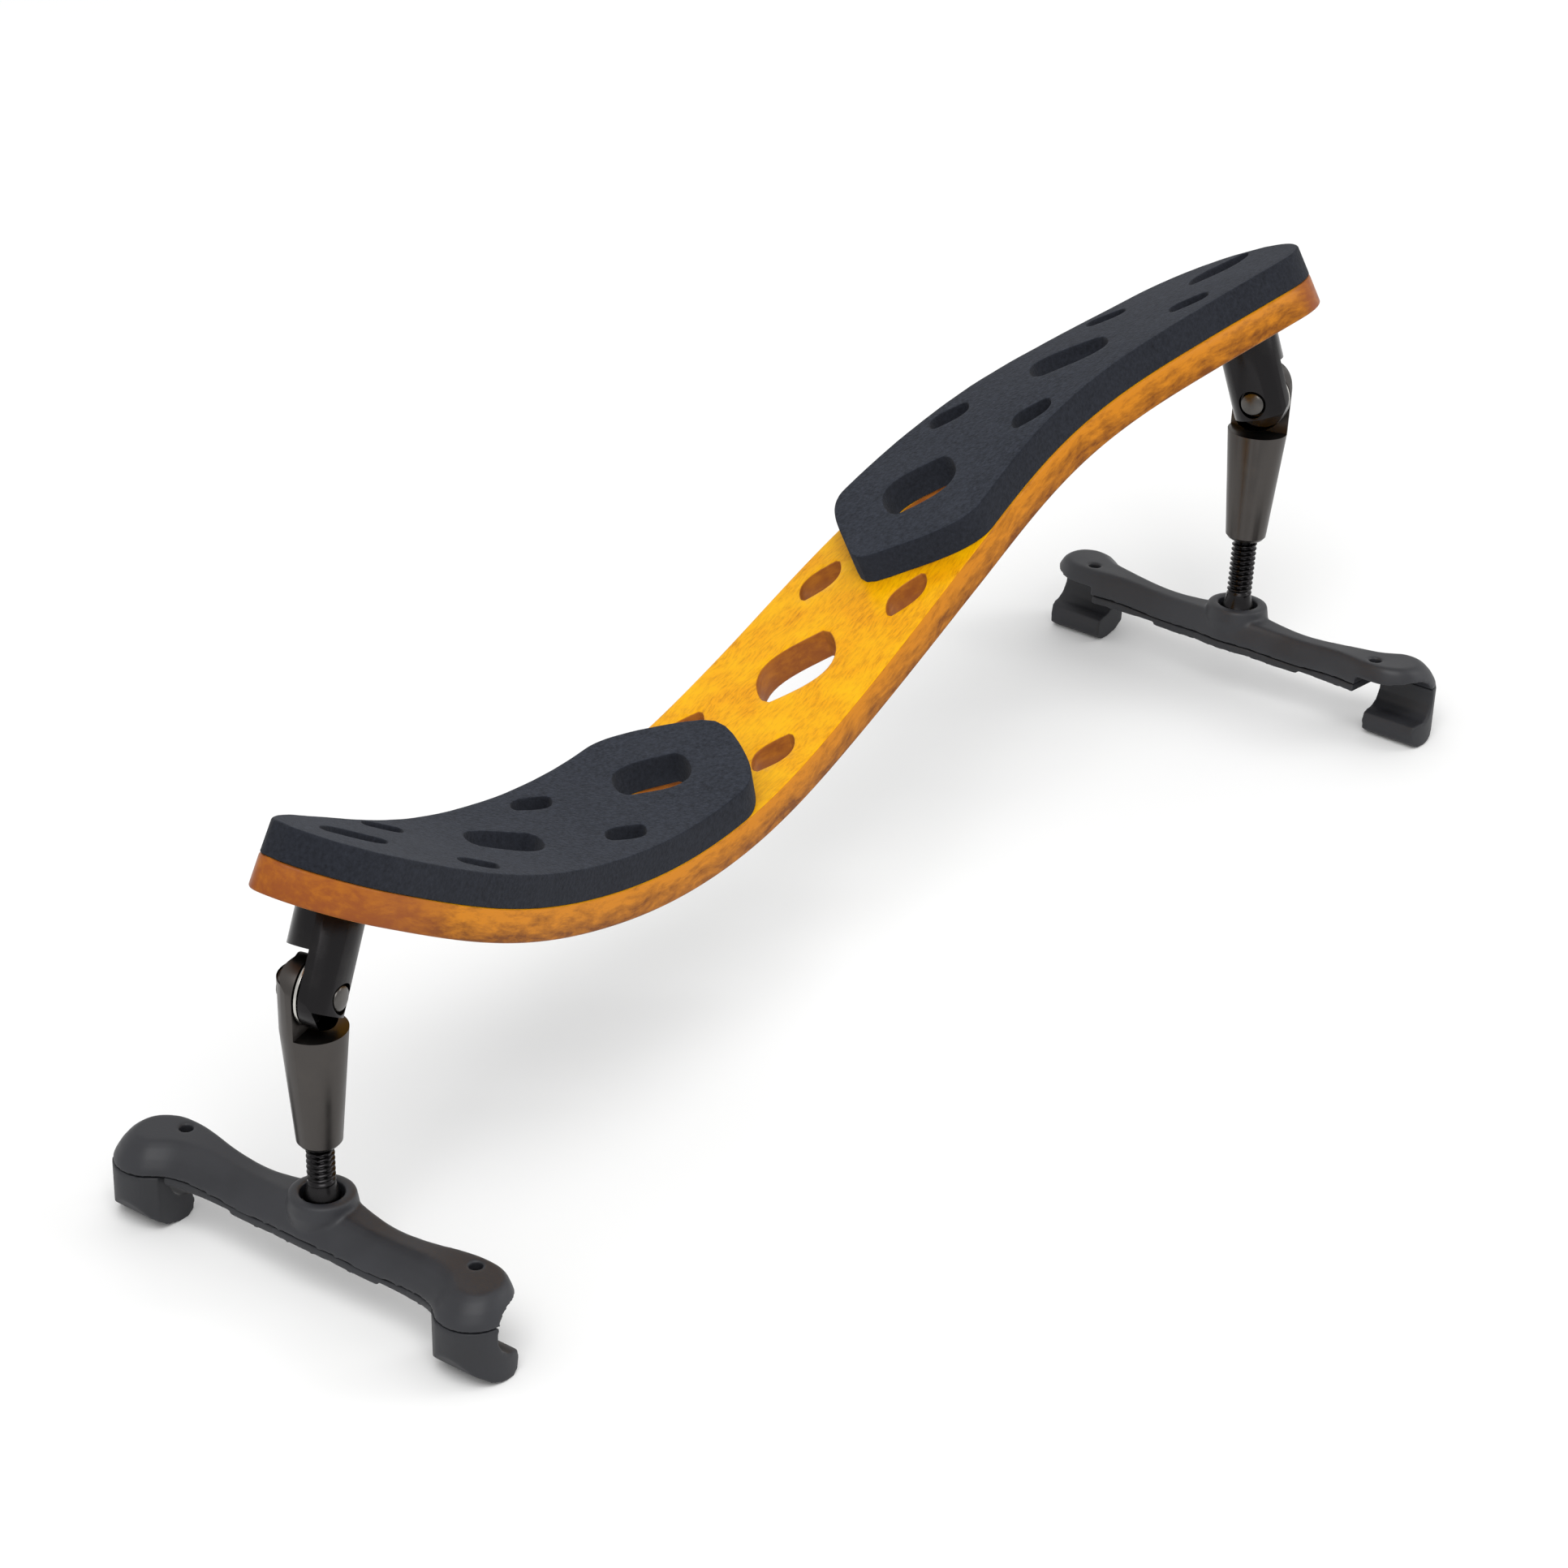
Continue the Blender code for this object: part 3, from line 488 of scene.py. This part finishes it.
def tipStations(end, count=16):
    inwards = 1 if end == plateShape["from"] else -1
    return [end + inwards * plateShape["tip"] * (1 - math.cos(math.pi / 2 * i / count))
            for i in range(count + 1)]


def stripOutline(stations, widthAt):
    points = []
    for point in [(s, -widthAt(s, -1)) for s in stations] + [(s, widthAt(s, 1)) for s in reversed(stations)]:
        if not points or math.dist(point, points[-1]) > 0.05 * mm:
            points.append(point)
    if math.dist(points[0], points[-1]) < 0.05 * mm:
        points.pop()
    return points


def lens(s, across, size, count=22):
    # a leaf, the same when turned half round: each side is fullest nearer one end, then nearly straight
    length, width = size
    blunt = 0.06 * width
    top = []
    for i in range(count + 1):
        t = (1 - math.cos(math.pi * i / count)) / 2
        swell = math.sin(math.pi * t ** plateShape["holeSkew"])
        top.append((length * (t - 0.5), blunt + (width / 2 - blunt) * swell))
    return [(s + u, across + v) for u, v in top + [(-u, -v) for u, v in top]]


def holeOutlines(first, last, endSize, share=(1, 1)):
    loops = []
    for k in range(first, last + 1):
        size = plateShape["smallHole"] if k % 2 else endSize if abs(k) == 6 else plateShape["bigHole"]
        offset = plateShape["pairOffset"]
        for across in (-offset, offset) if k % 2 else (0,):
            loops.append(lens(k * plateShape["pitch"], across, (size[0] * share[0], size[1] * share[1])))
    return loops


def drawnIn(loop, inset):
    # each point moved to its left, which is into the material for the outline and for the holes
    made = []
    for i, (u, v) in enumerate(loop):
        way = (Vector(loop[(i + 1) % len(loop)]) - Vector(loop[i - 1])).normalized()
        made.append((u - way.y * inset, v + way.x * inset))
    return made


def bentSheet(outline, holes, low, high, roundness, spacing=1.5 * mm, lowerShare=1):
    # a flat sheet with rounded rims, cut fine and bent onto the plate's curve
    bm = bmesh.new()
    arc = [math.pi / 2 * k / 3 for k in range(4)]
    foot = roundness * lowerShare
    levels = [(foot * (1 - math.sin(a)), low + foot * (1 - math.cos(a))) for a in arc]
    levels += [(roundness * (1 - math.cos(a)), high - roundness * (1 - math.sin(a))) for a in arc]
    rims = {0: [], len(levels) - 1: []}
    for loop in [outline] + holes:
        before, share = None, 1 if loop is outline else 0.45    # a routed hole is sharper than the rim
        for n, (inset, height) in enumerate(levels):
            ring = [bm.verts.new((u, v, height)) for u, v in drawnIn(loop, inset * share)]
            count = len(ring)
            if before:
                for i in range(count):
                    j = (i + 1) % count
                    bm.faces.new((before[i], before[j], ring[j], ring[i]))
            if n in rims:
                rims[n] += [bm.edges.get((ring[i], ring[(i + 1) % count])) or
                            bm.edges.new((ring[i], ring[(i + 1) % count])) for i in range(count)]
            before = ring
    for n, facing in ((0, -1), (len(levels) - 1, 1)):
        bmesh.ops.triangle_fill(bm, use_beauty=True, edges=rims[n], normal=(0, 0, facing))
    for axis, values in ((0, [p[0] for p in outline]), (1, [p[1] for p in outline])):
        plane = Vector((1, 0, 0)) if axis == 0 else Vector((0, 1, 0))
        first, last = math.ceil(min(values) / spacing), math.floor(max(values) / spacing)
        for i in range(first, last + 1):
            bmesh.ops.bisect_plane(bm, geom=list(bm.verts) + list(bm.edges) + list(bm.faces), dist=0.004 * mm,
                                   plane_co=plane * ((i + 0.137) * spacing), plane_no=plane)
    bmesh.ops.recalc_face_normals(bm, faces=bm.faces)
    wall = bm.faces.layers.float.new("wall")
    hole = bm.faces.layers.float.new("hole")
    flat = bm.verts.layers.float_vector.new("flat")
    end = bm.verts.layers.float.new("end")
    bm.normal_update()
    for face in bm.faces:
        centre = face.calc_center_median()
        face[wall] = min(1, max(0, (0.97 - abs(face.normal.z)) / 0.25))
        inside = abs(centre.y) < halfWidth(centre.x, centre.y) - 1.6 * mm
        face[hole] = face[wall] if inside else 0
    for vert in bm.verts:
        s = vert.co.x
        vert[flat] = vert.co
        wander = 5 * mm * noise.noise(vert.co / (9 * mm))
        left = (plateShape["from"] + 27 * mm + wander - s) / (12 * mm)
        right = (s + wander - (plateShape["to"] - 13 * mm)) / (4 * mm)
        vert[end] = min(1, max(0, left, right))
        vert.co = onPlate(*vert.co)
    return bm


def padOutline(nose, sharpness, tip):
    outward = 1 if tip > nose else -1
    edge = padShape["edge"]

    def width(s, side):
        past = abs(s - nose) / padShape["nose"]
        full = halfWidth(s - outward * edge, side) - edge
        return max(full, 0) if past >= 1 else max(full, 0) * math.sin(math.pi / 2 * past) ** sharpness

    noseStations = [nose + outward * padShape["nose"] * (i / 20) for i in range(21)]
    tipOnes = [s - outward * edge for s in tipStations(tip)]
    low, high = sorted((noseStations[-1], tipOnes[-1]))
    middle = [float(s) for s in np.linspace(low, high, 40)[1:-1]]
    outline = stripOutline(sorted(noseStations + middle + tipOnes), width)
    for _ in range(padShape["noseRound"]):     # the knife takes the point of the nose in a small curve
        count = len(outline)
        outline = [tuple((Vector(outline[i - 1]) + Vector(outline[(i + 1) % count])) / 2)
                   if abs(point[0] - nose) < 4 * mm else point for i, point in enumerate(outline)]
    return outline


def makePad(name, node, nose, sharpness, tip, firstHole, lastHole):
    holes = holeOutlines(firstHole, lastHole, plateShape["endHole"], plateShape["padHoleShare"])
    bm = bentSheet(padOutline(nose, sharpness, tip), holes, padShape["gap"], padShape["top"],
                   padShape["edgeRound"], 1.2 * mm, 0.15)
    flat = bm.verts.layers.float_vector["flat"]
    for vert in bm.verts:
        # cut foam is never quite even: the top dips and the walls pull in by up to a tenth
        if vert[flat].z > 0.9 * mm:
            shift = noise.noise(vert[flat] / (5 * mm)) + 0.5 * noise.noise(vert[flat] / (1.6 * mm))
            vert.co -= vert.normal * padShape["unevenness"] * (0.6 + 0.6 * shift)
    pad = newPiece(name, bm, foam, 60)
    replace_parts(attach(pad, "plate"), node)
    return pad


def takeMarks(piece, source):
    # after a cut, each point and face takes the coordinates and marks of the nearest one before it
    places = kdtree.KDTree(len(source.vertices))
    for i, vert in enumerate(source.vertices):
        places.insert(vert.co, i)
    places.balance()
    faces = kdtree.KDTree(len(source.polygons))
    for i, face in enumerate(source.polygons):
        faces.insert(face.center, i)
    faces.balance()
    mesh = piece.data
    for name, kind in (("flat", "FLOAT_VECTOR"), ("end", "FLOAT")):
        before = source.attributes[name].data
        if name in mesh.attributes:
            mesh.attributes.remove(mesh.attributes[name])
        after = mesh.attributes.new(name, kind, "POINT").data
        for i, vert in enumerate(mesh.vertices):
            nearest = places.find(vert.co)[1]
            if kind == "FLOAT":
                after[i].value = before[nearest].value
            else:
                after[i].vector = before[nearest].vector
    for name in ("wall", "hole"):
        before = source.attributes[name].data
        if name in mesh.attributes:
            mesh.attributes.remove(mesh.attributes[name])
        after = mesh.attributes.new(name, "FLOAT", "FACE").data
        for i, face in enumerate(mesh.polygons):
            after[i].value = before[faces.find(face.center)[1]].value


def makePlate(seats):
    start, stop = plateShape["from"] + plateShape["tip"], plateShape["to"] - plateShape["tip"]
    middle = [float(s) for s in np.linspace(start, stop, 90)[1:-1]]
    stations = tipStations(plateShape["from"]) + middle + tipStations(plateShape["to"])[::-1]
    bm = bentSheet(stripOutline(stations, halfWidth), holeOutlines(-5, 5, plateShape["bigHole"]),
                   -plateShape["thick"], 0, plateShape["edgeRound"])
    plate = newPiece("plateBody", bm, maple, 40)
    marked = plate.data.copy()
    for seat in seats:
        cut(plate, seat)
    takeMarks(plate, marked)
    bpy.data.meshes.remove(marked)
    plate.data.shade_smooth()
    plate.data.set_sharp_from_angle(angle=math.radians(40))
    plate.visible_diffuse = False    # keeps the stain's colour off the pale floor
    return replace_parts(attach(plate, "plate"), "rest_plate")


# The legs.

legShape = {
    "knuckleR": 4.6 * mm, "knuckleLength": 12.0 * mm, "seatDepth": 0.4 * mm, "tongueGap": 1.0 * mm,
    "shoulder": 5.3 * mm, "pinR": 1.0 * mm, "pinHeadR": 1.8 * mm, "studR": 1.9 * mm,
    "insertR": 3.0 * mm, "insertLength": 2.6 * mm,
    "sleeveTopR": 4.5 * mm, "sleeveEndR": 3.05 * mm, "sleeveLength": 22.6 * mm, "sleeveBore": 2.2 * mm,
    "screwR": 1.9 * mm, "screwTop": 12.5 * mm, "pitch": 0.8 * mm, "threadDepth": 0.42 * mm,
    "gap": 0.3 * mm, "edge": 0.16 * mm,
}
forkShape = {
    "bottom": 8.6 * mm, "top": 12.4 * mm, "bossTop": 13.7 * mm, "bossR": 4.8 * mm, "holeR": 3.0 * mm,
    "dot": (1.1 * mm, 25.6 * mm, 0.95 * mm), "claw": (24.2 * mm, 36 * mm), "strip": (23.8 * mm, 13 * mm),
    "plan": ((4.9, 0), (3.8, 5), (3.0, 11), (3.2, 18), (4.2, 24), (3.9, 29), (1.4, 32.6),
             (-2.2, 33.8), (-5.8, 32.8), (-7.9, 29.8), (-7.6, 26.2), (-5.6, 23.4), (-4.6, 19),
             (-4.4, 13), (-4.7, 6), (-5.2, 0)),                     # mm, half of the bar seen from above
    "levels": ((8.6, 0.1, 0), (9.6, 0.4, 0.2), (10.8, 1.0, 0.5), (11.8, 1.7, 0.9), (12.4, 2.5, 1.2)),
    "sag": 0.7 * mm, "sagSpan": 23 * mm,
    "section": ((-9.6, 8.5), (-8.6, 6.4), (-7.9, 4.2), (-6.6, 2.1), (-4.6, 0.6), (-2.6, 0),
                (-0.6, 0), (0.3, 0.7), (0.6, 2.0), (0.3, 3.2), (-0.7, 3.6), (-1.9, 3.8),
                (-2.9, 4.6), (-3.5, 5.9), (-3.6, 7.2), (-3.4, 8.5)),    # outer wall, foot, lip, mouth
    "arch": ((-3.45, 8.0), (-3.1, 9.0), (-2.3, 9.8), (-1.1, 10.3), (0.4, 10.45), (2.0, 10.2), (3.4, 9.9),
             (12, 9.7), (12, 5), (-3.45, 5)),                       # the mouth goes on up into the bar
    "seam": 0.1 * mm, "voxel": 0.25 * mm,
}


def halfRound(radius, shoulder, upwards):
    sign = 1 if upwards else -1
    arc = [(radius * math.cos(a), sign * radius * math.sin(a)) for a in np.linspace(0, math.pi, 41)]
    wide, far, step = 2 * radius, -sign * 3 * shoulder, -sign * 0.8 * shoulder
    return arc + [(-radius - 0.01 * mm, step), (-wide, step), (-wide, far), (wide, far),
                  (wide, step), (radius + 0.01 * mm, step)]


def halfLap(piece, matrix, radius, upwards):
    side = 1 if upwards else -1
    away = sorted((-side * 2 * radius, side * legShape["tongueGap"] / 2))
    heights = sorted((-side * legShape["shoulder"], side * 3 * radius))
    cut(piece, placed(prism(rectangle(-2 * radius, 2 * radius, *heights), *away, "XZ"), matrix))
    end = prism(halfRound(radius, legShape["shoulder"] * 3, upwards), -2 * radius, 2 * radius, "XZ")
    cut(piece, placed(end, matrix), "INTERSECT")
    seat, bore = legShape["pinHeadR"] + legShape["gap"], legShape["pinR"] + legShape["gap"]
    hole = turned([(0, -6 * mm), (bore, -6 * mm), (bore, 3.3 * mm), (seat, 3.3 * mm), (seat, 6 * mm),
                   (0, 6 * mm)], 48, "Y")
    if upwards:
        bmesh.ops.rotate(hole, verts=hole.verts, matrix=Matrix.Rotation(math.pi, 3, "X"))
    cut(piece, placed(hole, matrix))
    # the tongue's end is turned to a big round before the flat is milled
    outer, big = 1.012 * radius, 0.6 * radius
    ball = [(outer - big + big * math.sin(a), side * (outer - big + big * math.cos(a)))
            for a in np.linspace(0, math.pi / 2, 13)]
    profile = [(0, side * outer)] + ball + [(outer, -side * 30 * mm), (0, -side * 30 * mm)]
    cut(piece, placed(turned(profile, 76), matrix), "INTERSECT")


def makeKnuckle(side, matrix):
    length, top = legShape["knuckleLength"], legShape["knuckleLength"] - legShape["gap"]
    studTop = length + legShape["insertLength"] - legShape["gap"]
    radius = legShape["knuckleR"]
    profile = [(0, -radius * 1.2), (radius, -radius * 1.2), (radius, top), (legShape["studR"], top),
               (legShape["studR"], studTop), (0, studTop)]
    knuckle = newPiece(side + "Knuckle", placed(turned(profile, 80), matrix), anodised)
    halfLap(knuckle, matrix, radius, False)
    softenEdges(knuckle, legShape["edge"])
    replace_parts(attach(knuckle, side + "_knuckle"), side + "_upper_knuckle")
    return knuckle


def makeSleeve(side, matrix):
    bore, bottom, topR = legShape["sleeveBore"], -legShape["sleeveLength"], legShape["sleeveTopR"]
    endR = legShape["sleeveEndR"]
    profile = [(0, -7.4 * mm), (bore, -7.4 * mm), (bore, bottom), (endR - 0.4 * mm, bottom),
               (endR, bottom + 0.5 * mm), (topR, -legShape["shoulder"]), (topR, 1.2 * topR), (0, 1.2 * topR)]
    sleeve = newPiece(side + "Sleeve", placed(turned(profile, 80), matrix), satin)
    halfLap(sleeve, matrix, topR, True)
    softenEdges(sleeve, legShape["edge"])
    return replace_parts(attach(sleeve, side + "_leg"), side + "_leg_sleeve")


def makeHingePieces(side, matrix):
    pinR, headR, inner = legShape["pinR"], legShape["pinHeadR"], 3.6 * mm
    dome = [(headR * math.cos(a), inner + 0.5 * mm + 0.62 * mm * math.sin(a))
            for a in np.linspace(0.25, 1.5, 9)]
    pin = [(0, -inner - 0.5 * mm), (pinR, -inner - 0.5 * mm), (pinR, inner), (headR, inner),
           (headR, inner + 0.45 * mm)] + dome + [(0, inner + 1.12 * mm)]
    piece = newPiece(side + "Pin", placed(turned(filleted(pin, 0.08 * mm), 56, "Y"), matrix), gunmetal, 50)
    body = frame["nodes"][side + "_hinge_pin"]["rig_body"]
    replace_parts(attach(piece, body), side + "_hinge_pin")
    half, rim = legShape["tongueGap"] / 2 - legShape["gap"], legShape["knuckleR"] - 0.1 * mm
    hole = pinR + legShape["gap"]
    ring = [(hole, -half), (rim, -half), (rim, half), (hole, half)]
    washer = newPiece(side + "Washer",
                      placed(turned(filleted(ring, 0.06 * mm, 2, True), 80, "Y"), matrix), steel, 50)
    body = frame["nodes"][side + "_friction_washer"]["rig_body"]
    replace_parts(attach(washer, body), side + "_friction_washer")


def makeScrew(side, matrix, rodTop):
    # rings from the clip groove up; above the collar each ring follows a real helix
    groove, shank, crest = 0.9 * mm, 1.4 * mm, legShape["screwR"]
    lowPart = [(0, 7.5), (1.2, 7.5), (1.4, 7.7), (1.4, 8.0), (0.9, 8.0), (0.9, 9.1), (1.4, 9.1), (1.4, 12.5),
               (2.3, 12.5), (2.5, 12.7), (2.5, 13.1), (2.35, 13.4), (2.15, 13.9), (1.98, 14.5), (1.9, 15.0)]
    sides, bm = 48, bmesh.new()
    rings = []
    start = 15.0 * mm
    heights = [(r * mm, z * mm, 0) for r, z in lowPart]
    count = int((rodTop - start) / (0.1 * mm))
    for i in range(1, count + 1):
        z = start + (rodTop - start) * i / count
        taper = min(0.4 * mm, max(0, z - (rodTop - 0.4 * mm)))
        heights.append((crest - taper, z, min(1, (z - start) / (1.0 * mm)) if taper == 0 else 0.4))
    heights.append((0, rodTop, 0))
    for radius, z, share in heights:
        ring = []
        for i in range(sides if radius > 0 else 1):
            a = 2 * math.pi * i / sides
            phase = (z / legShape["pitch"] - i / sides) % 1
            depth = legShape["threadDepth"] * share * min(1, max(0, abs(2 * phase - 1) * 1.5 - 0.25))
            ring.append(bm.verts.new(((radius - depth) * math.cos(a), (radius - depth) * math.sin(a), z)))
        rings.append(ring)
    for a, b in zip(rings, rings[1:]):
        for i in range(sides):
            j = (i + 1) % sides
            corners = [a[i % len(a)], a[j % len(a)], b[j % len(b)], b[i % len(b)]]
            bm.faces.new(list(dict.fromkeys(corners)))
    screw = newPiece(side + "Screw", placed(bm, matrix), anodised, 50)
    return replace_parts(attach(screw, side + "_screw"), side + "_height_screw")


def barOutline(inset=0.0, shift=0.0):
    half = [(q * mm, y * mm) for q, y in forkShape["plan"]]
    loop = closedCurve(half + [(q, -y) for q, y in half[-2:0:-1]], 2)
    return closedCurve([(u + shift, v) for u, v in drawnIn(loop, inset)], 3)


def stacked(levels):
    # outlines at rising heights, capped flat, sliced at each millimetre, then sagged between hub and ends
    bm = bmesh.new()
    rings = [[bm.verts.new((u, v, z)) for u, v in outline] for z, outline in levels]
    bm.faces.new(rings[0])
    bm.faces.new(rings[-1])
    for a, b in zip(rings, rings[1:]):
        for i in range(len(a)):
            j = (i + 1) % len(a)
            bm.faces.new((a[i], a[j], b[j], b[i]))
    bmesh.ops.recalc_face_normals(bm, faces=bm.faces)
    bmesh.ops.triangulate(bm, faces=bm.faces, ngon_method="EAR_CLIP")
    for i in range(-34, 35):
        bmesh.ops.bisect_plane(bm, geom=list(bm.verts) + list(bm.edges) + list(bm.faces), dist=0.002 * mm,
                               plane_co=(0, (i + 0.313) * mm, 0), plane_no=(0, 1, 0))
    for vert in bm.verts:
        part = min(abs(vert.co.y), forkShape["sagSpan"]) / forkShape["sagSpan"]
        vert.co.z -= forkShape["sag"] * math.sin(math.pi * part) ** 2
    return bm


def makeFork(side, matrix, words):
    # shaped in its own frame, then set in place, so that both forks come from one tool
    bottom, top, bossTop, bossR = (forkShape[k] for k in ("bottom", "top", "bossTop", "bossR"))
    body = side + "_fork"
    levels = [(z * mm, barOutline(inset * mm, shift * mm)) for z, inset, shift in forkShape["levels"]]
    bar = newPiece(side + "ForkBar", stacked(levels), nylon)
    moulded(bar, forkShape["voxel"], 2)    # one clean skin before the cuts
    boss = [(0, bottom + mm), (bossR - 0.3 * mm, bottom + mm), (bossR, top - 0.6 * mm),
            (bossR - 0.3 * mm, bossTop - 0.25 * mm), (bossR - 0.8 * mm, bossTop), (0, bossTop)]
    cut(bar, turned(boss, 64), "UNION")
    hole = [(0, 0), (forkShape["holeR"], 0), (forkShape["holeR"], 2 * bossTop), (0, 2 * bossTop)]
    cut(bar, turned(hole, 64))
    q, y, dotR = forkShape["dot"]
    rim = barOutline(0.3 * mm)
    strip = newPiece(side + "Strip", stacked([(7.3 * mm, rim), (bottom - forkShape["seam"], rim)]), rubber)
    cut(strip, turned(hole, 64))
    for end, word in zip((-1, 1), words):
        for start, height in ((forkShape["strip"][0], 20 * mm), (forkShape["strip"][1], 7.05 * mm)):
            cut(strip, prism(rectangle(-20 * mm, 20 * mm, *sorted((end * start, end * 60 * mm))), 0, height))
        spot = Matrix.Translation((q, end * y, 0))
        dot = [(0, 6 * mm), (dotR, 6 * mm), (dotR, 20 * mm), (0, 20 * mm)]
        cut(bar, placed(turned(dot, 32), spot))
        reach = sorted((end * (forkShape["claw"][0] - 0.2 * mm), end * 40 * mm))
        cut(bar, prism([(u * mm, z * mm) for u, z in forkShape["arch"]], *reach, "XZ"))
        plug = [(0, 10.6), (0.8, 10.6), (0.8, 11.2), (0.6, 11.35), (0, 11.4)]
        # the claw pin top sits down its dot hole; its dark blackened steel is painted shade that makes the
        # hole read dark
        pinTop = newPiece(f"{side}{word.capitalize()}PinTop",
                          placed(turned([(r * mm, z * mm) for r, z in plug], 32), matrix @ spot), gunmetal)
        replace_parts(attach(pinTop, body), f"{side}_{word}_claw_pin")
        section = [(u * mm, z * mm) for u, z in forkShape["section"]]
        ends = sorted((end * forkShape["claw"][0], end * forkShape["claw"][1]))
        claw = newPiece(f"{side}{word.capitalize()}Claw", prism(section, *ends, "XZ"), rubber)
        cut(claw, prism(barOutline(0.1 * mm), -5 * mm, 20 * mm), "INTERSECT")
        moulded(claw, forkShape["voxel"], 3)
        claw.data.transform(matrix)
        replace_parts(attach(claw, body), f"{side}_{word}_claw")
    moulded(bar, forkShape["voxel"], 3)
    moulded(strip, forkShape["voxel"], 2)
    for piece, node, slot in ((bar, "_fork_frame", "black_plastic"), (strip, "_rubber_strip", "rubber")):
        piece.data.transform(matrix)
        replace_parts(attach(piece, body), side + node)


def makeLeg(side, mount, lean, leanTowards, stance, turn, inward):
    leg = Matrix.Rotation(math.radians(turn), 3, "Z") @ Matrix.Rotation(math.radians(stance), 3, "Y")
    hinge = leg @ Matrix.Rotation(math.radians(leanTowards), 3, "Z")
    knuckle = hinge @ Matrix.Rotation(math.radians(lean), 3, "Y")
    fork = leg @ Matrix.Rotation(math.radians(inward), 3, "Z")
    pin = onPlate(mount[0] * mm, mount[1] * mm, legShape["seatDepth"] - plateShape["thick"])
    pin = pin - knuckle.col[2] * legShape["knuckleLength"]
    lift = -min((fork @ Vector((q * mm, 0, z * mm))).z for q, z in forkShape["section"])
    height = (pin.z - lift) / leg.col[2].z
    foot = pin - leg.col[2] * height
    atKnuckle, atHinge = (Matrix.Translation(pin) @ m.to_4x4() for m in (knuckle, hinge))
    atFoot, atFork = (Matrix.Translation(foot) @ m.to_4x4() for m in (leg, fork))
    makeKnuckle(side, atKnuckle)
    makeHingePieces(side, atHinge)
    makeSleeve(side, atHinge)
    makeScrew(side, atFoot, height - legShape["screwTop"])
    makeFork(side, atFork, ("near", "far") if inward == 0 else ("far", "near"))
    bottom, top = legShape["knuckleLength"], legShape["knuckleLength"] + legShape["insertLength"]
    seat, pocket = legShape["knuckleR"] + 0.4 * mm, legShape["insertR"] + legShape["gap"]
    print(side, "leg made")
    return placed(turned([(0, bottom - 4 * mm), (seat, bottom - 4 * mm), (seat, bottom), (pocket, bottom),
                          (pocket, top + 0.3 * mm), (0, top + 0.3 * mm)], 48), atKnuckle)


legs = {
    "left": {"mount": (-103.6, 1.3), "lean": 31, "leanTowards": 13, "stance": 0, "turn": -1, "inward": 0},
    "right": {"mount": (106.8, 0.3), "lean": -20, "leanTowards": -76, "stance": 7.5, "turn": 1,
              "inward": 180},
}
seats = [makeLeg(side, **values) for side, values in legs.items()]
makePlate(seats)
print("plate made")
makePad("longPad", "long_foam_pad", 17.2 * mm, 1.3, plateShape["to"], 2, 6)
makePad("shortPad", "short_foam_pad", -17.6 * mm, 1.0, plateShape["from"], -6, -2)
print("pads made")

# the small inner pieces keep the CAD's shape and take their own finish
innerFinish = {"socket_insert": brass, "hub_bush": gunmetal, "screw_clip": steel, "pin_nut": gunmetal}
for side in ("left", "right"):
    for name, material in innerFinish.items():
        node = frame["nodes"][f"{side}_{name}"]
        for slot in node.material_slots:
            slot.material = material


# Floor, light and camera.

studio = {"floor": "#f6f6f5", "sky": 0.82, "key": 10.0, "fill": 3.0, "lens": 139.16,
          "camera": (-0.5795, -0.4552, 0.4431),
          "right": (0.6216, -0.7833, -0.0034), "up": (0.3866, 0.303, 0.8711)}

floorMesh = bmesh.new()
bmesh.ops.create_grid(floorMesh, x_segments=1, y_segments=1, size=6)
# Painted board, sprayed matt: a pale even ground that only takes the soft shadow.
paper, paperTree, paperShader = newMaterial("mattPaintedBoard", {"Roughness": 0.9})
mottle = addNode(paperTree, "ShaderNodeTexNoise", values={"Scale": 1 / (60 * mm)},
                 links={"Vector": addNode(paperTree, "ShaderNodeTexCoord").outputs["Object"]})
paint = addNode(paperTree, "ShaderNodeMix", {"data_type": "RGBA"},
                {6: toLinear(studio["floor"]), 7: toLinear("#f9f9f9")}, {0: mottle.outputs["Fac"]})
paperTree.links.new(paint.outputs[2], paperShader.inputs["Base Color"])
floor = newPiece("floor", floorMesh, paper, None)
floor.location.z = min(c[2] for c in cadBox) - 0.02 * mm

world = bpy.data.worlds.new("studio")
bpy.context.scene.world = world
world.use_nodes = True
world.node_tree.nodes["Background"].inputs["Color"].default_value = (1, 1, 1, 1)
world.node_tree.nodes["Background"].inputs["Strength"].default_value = studio["sky"]

for name, place, size, power in (("key", (-0.7, -0.5, 1.3), 0.9, studio["key"]),
                                 ("fill", (0.9, -0.9, 0.7), 0.5, studio["fill"])):
    data = bpy.data.lights.new(name, "AREA")
    data.size, data.energy = size, power
    lamp = bpy.data.objects.new(name, data)
    bpy.context.scene.collection.objects.link(lamp)
    lamp.location = place
    lamp.rotation_euler = (Vector((0, 0, 0.04)) - Vector(place)).to_track_quat("-Z", "Y").to_euler()

camera = bpy.data.objects.new("camera", bpy.data.cameras.new("camera"))
bpy.context.scene.collection.objects.link(camera)
camera.data.lens, camera.data.sensor_width = studio["lens"], 36
camera.data.clip_start, camera.data.clip_end = 0.05, 30
right, up = Vector(studio["right"]).normalized(), Vector(studio["up"]).normalized()
back = right.cross(up).normalized()
camera.matrix_world = Matrix.Translation(studio["camera"]) @ Matrix((right, up, back)).transposed().to_4x4()
bpy.context.scene.camera = camera
bpy.context.scene.view_settings.view_transform = "Standard"
print("stage, lights and camera made")
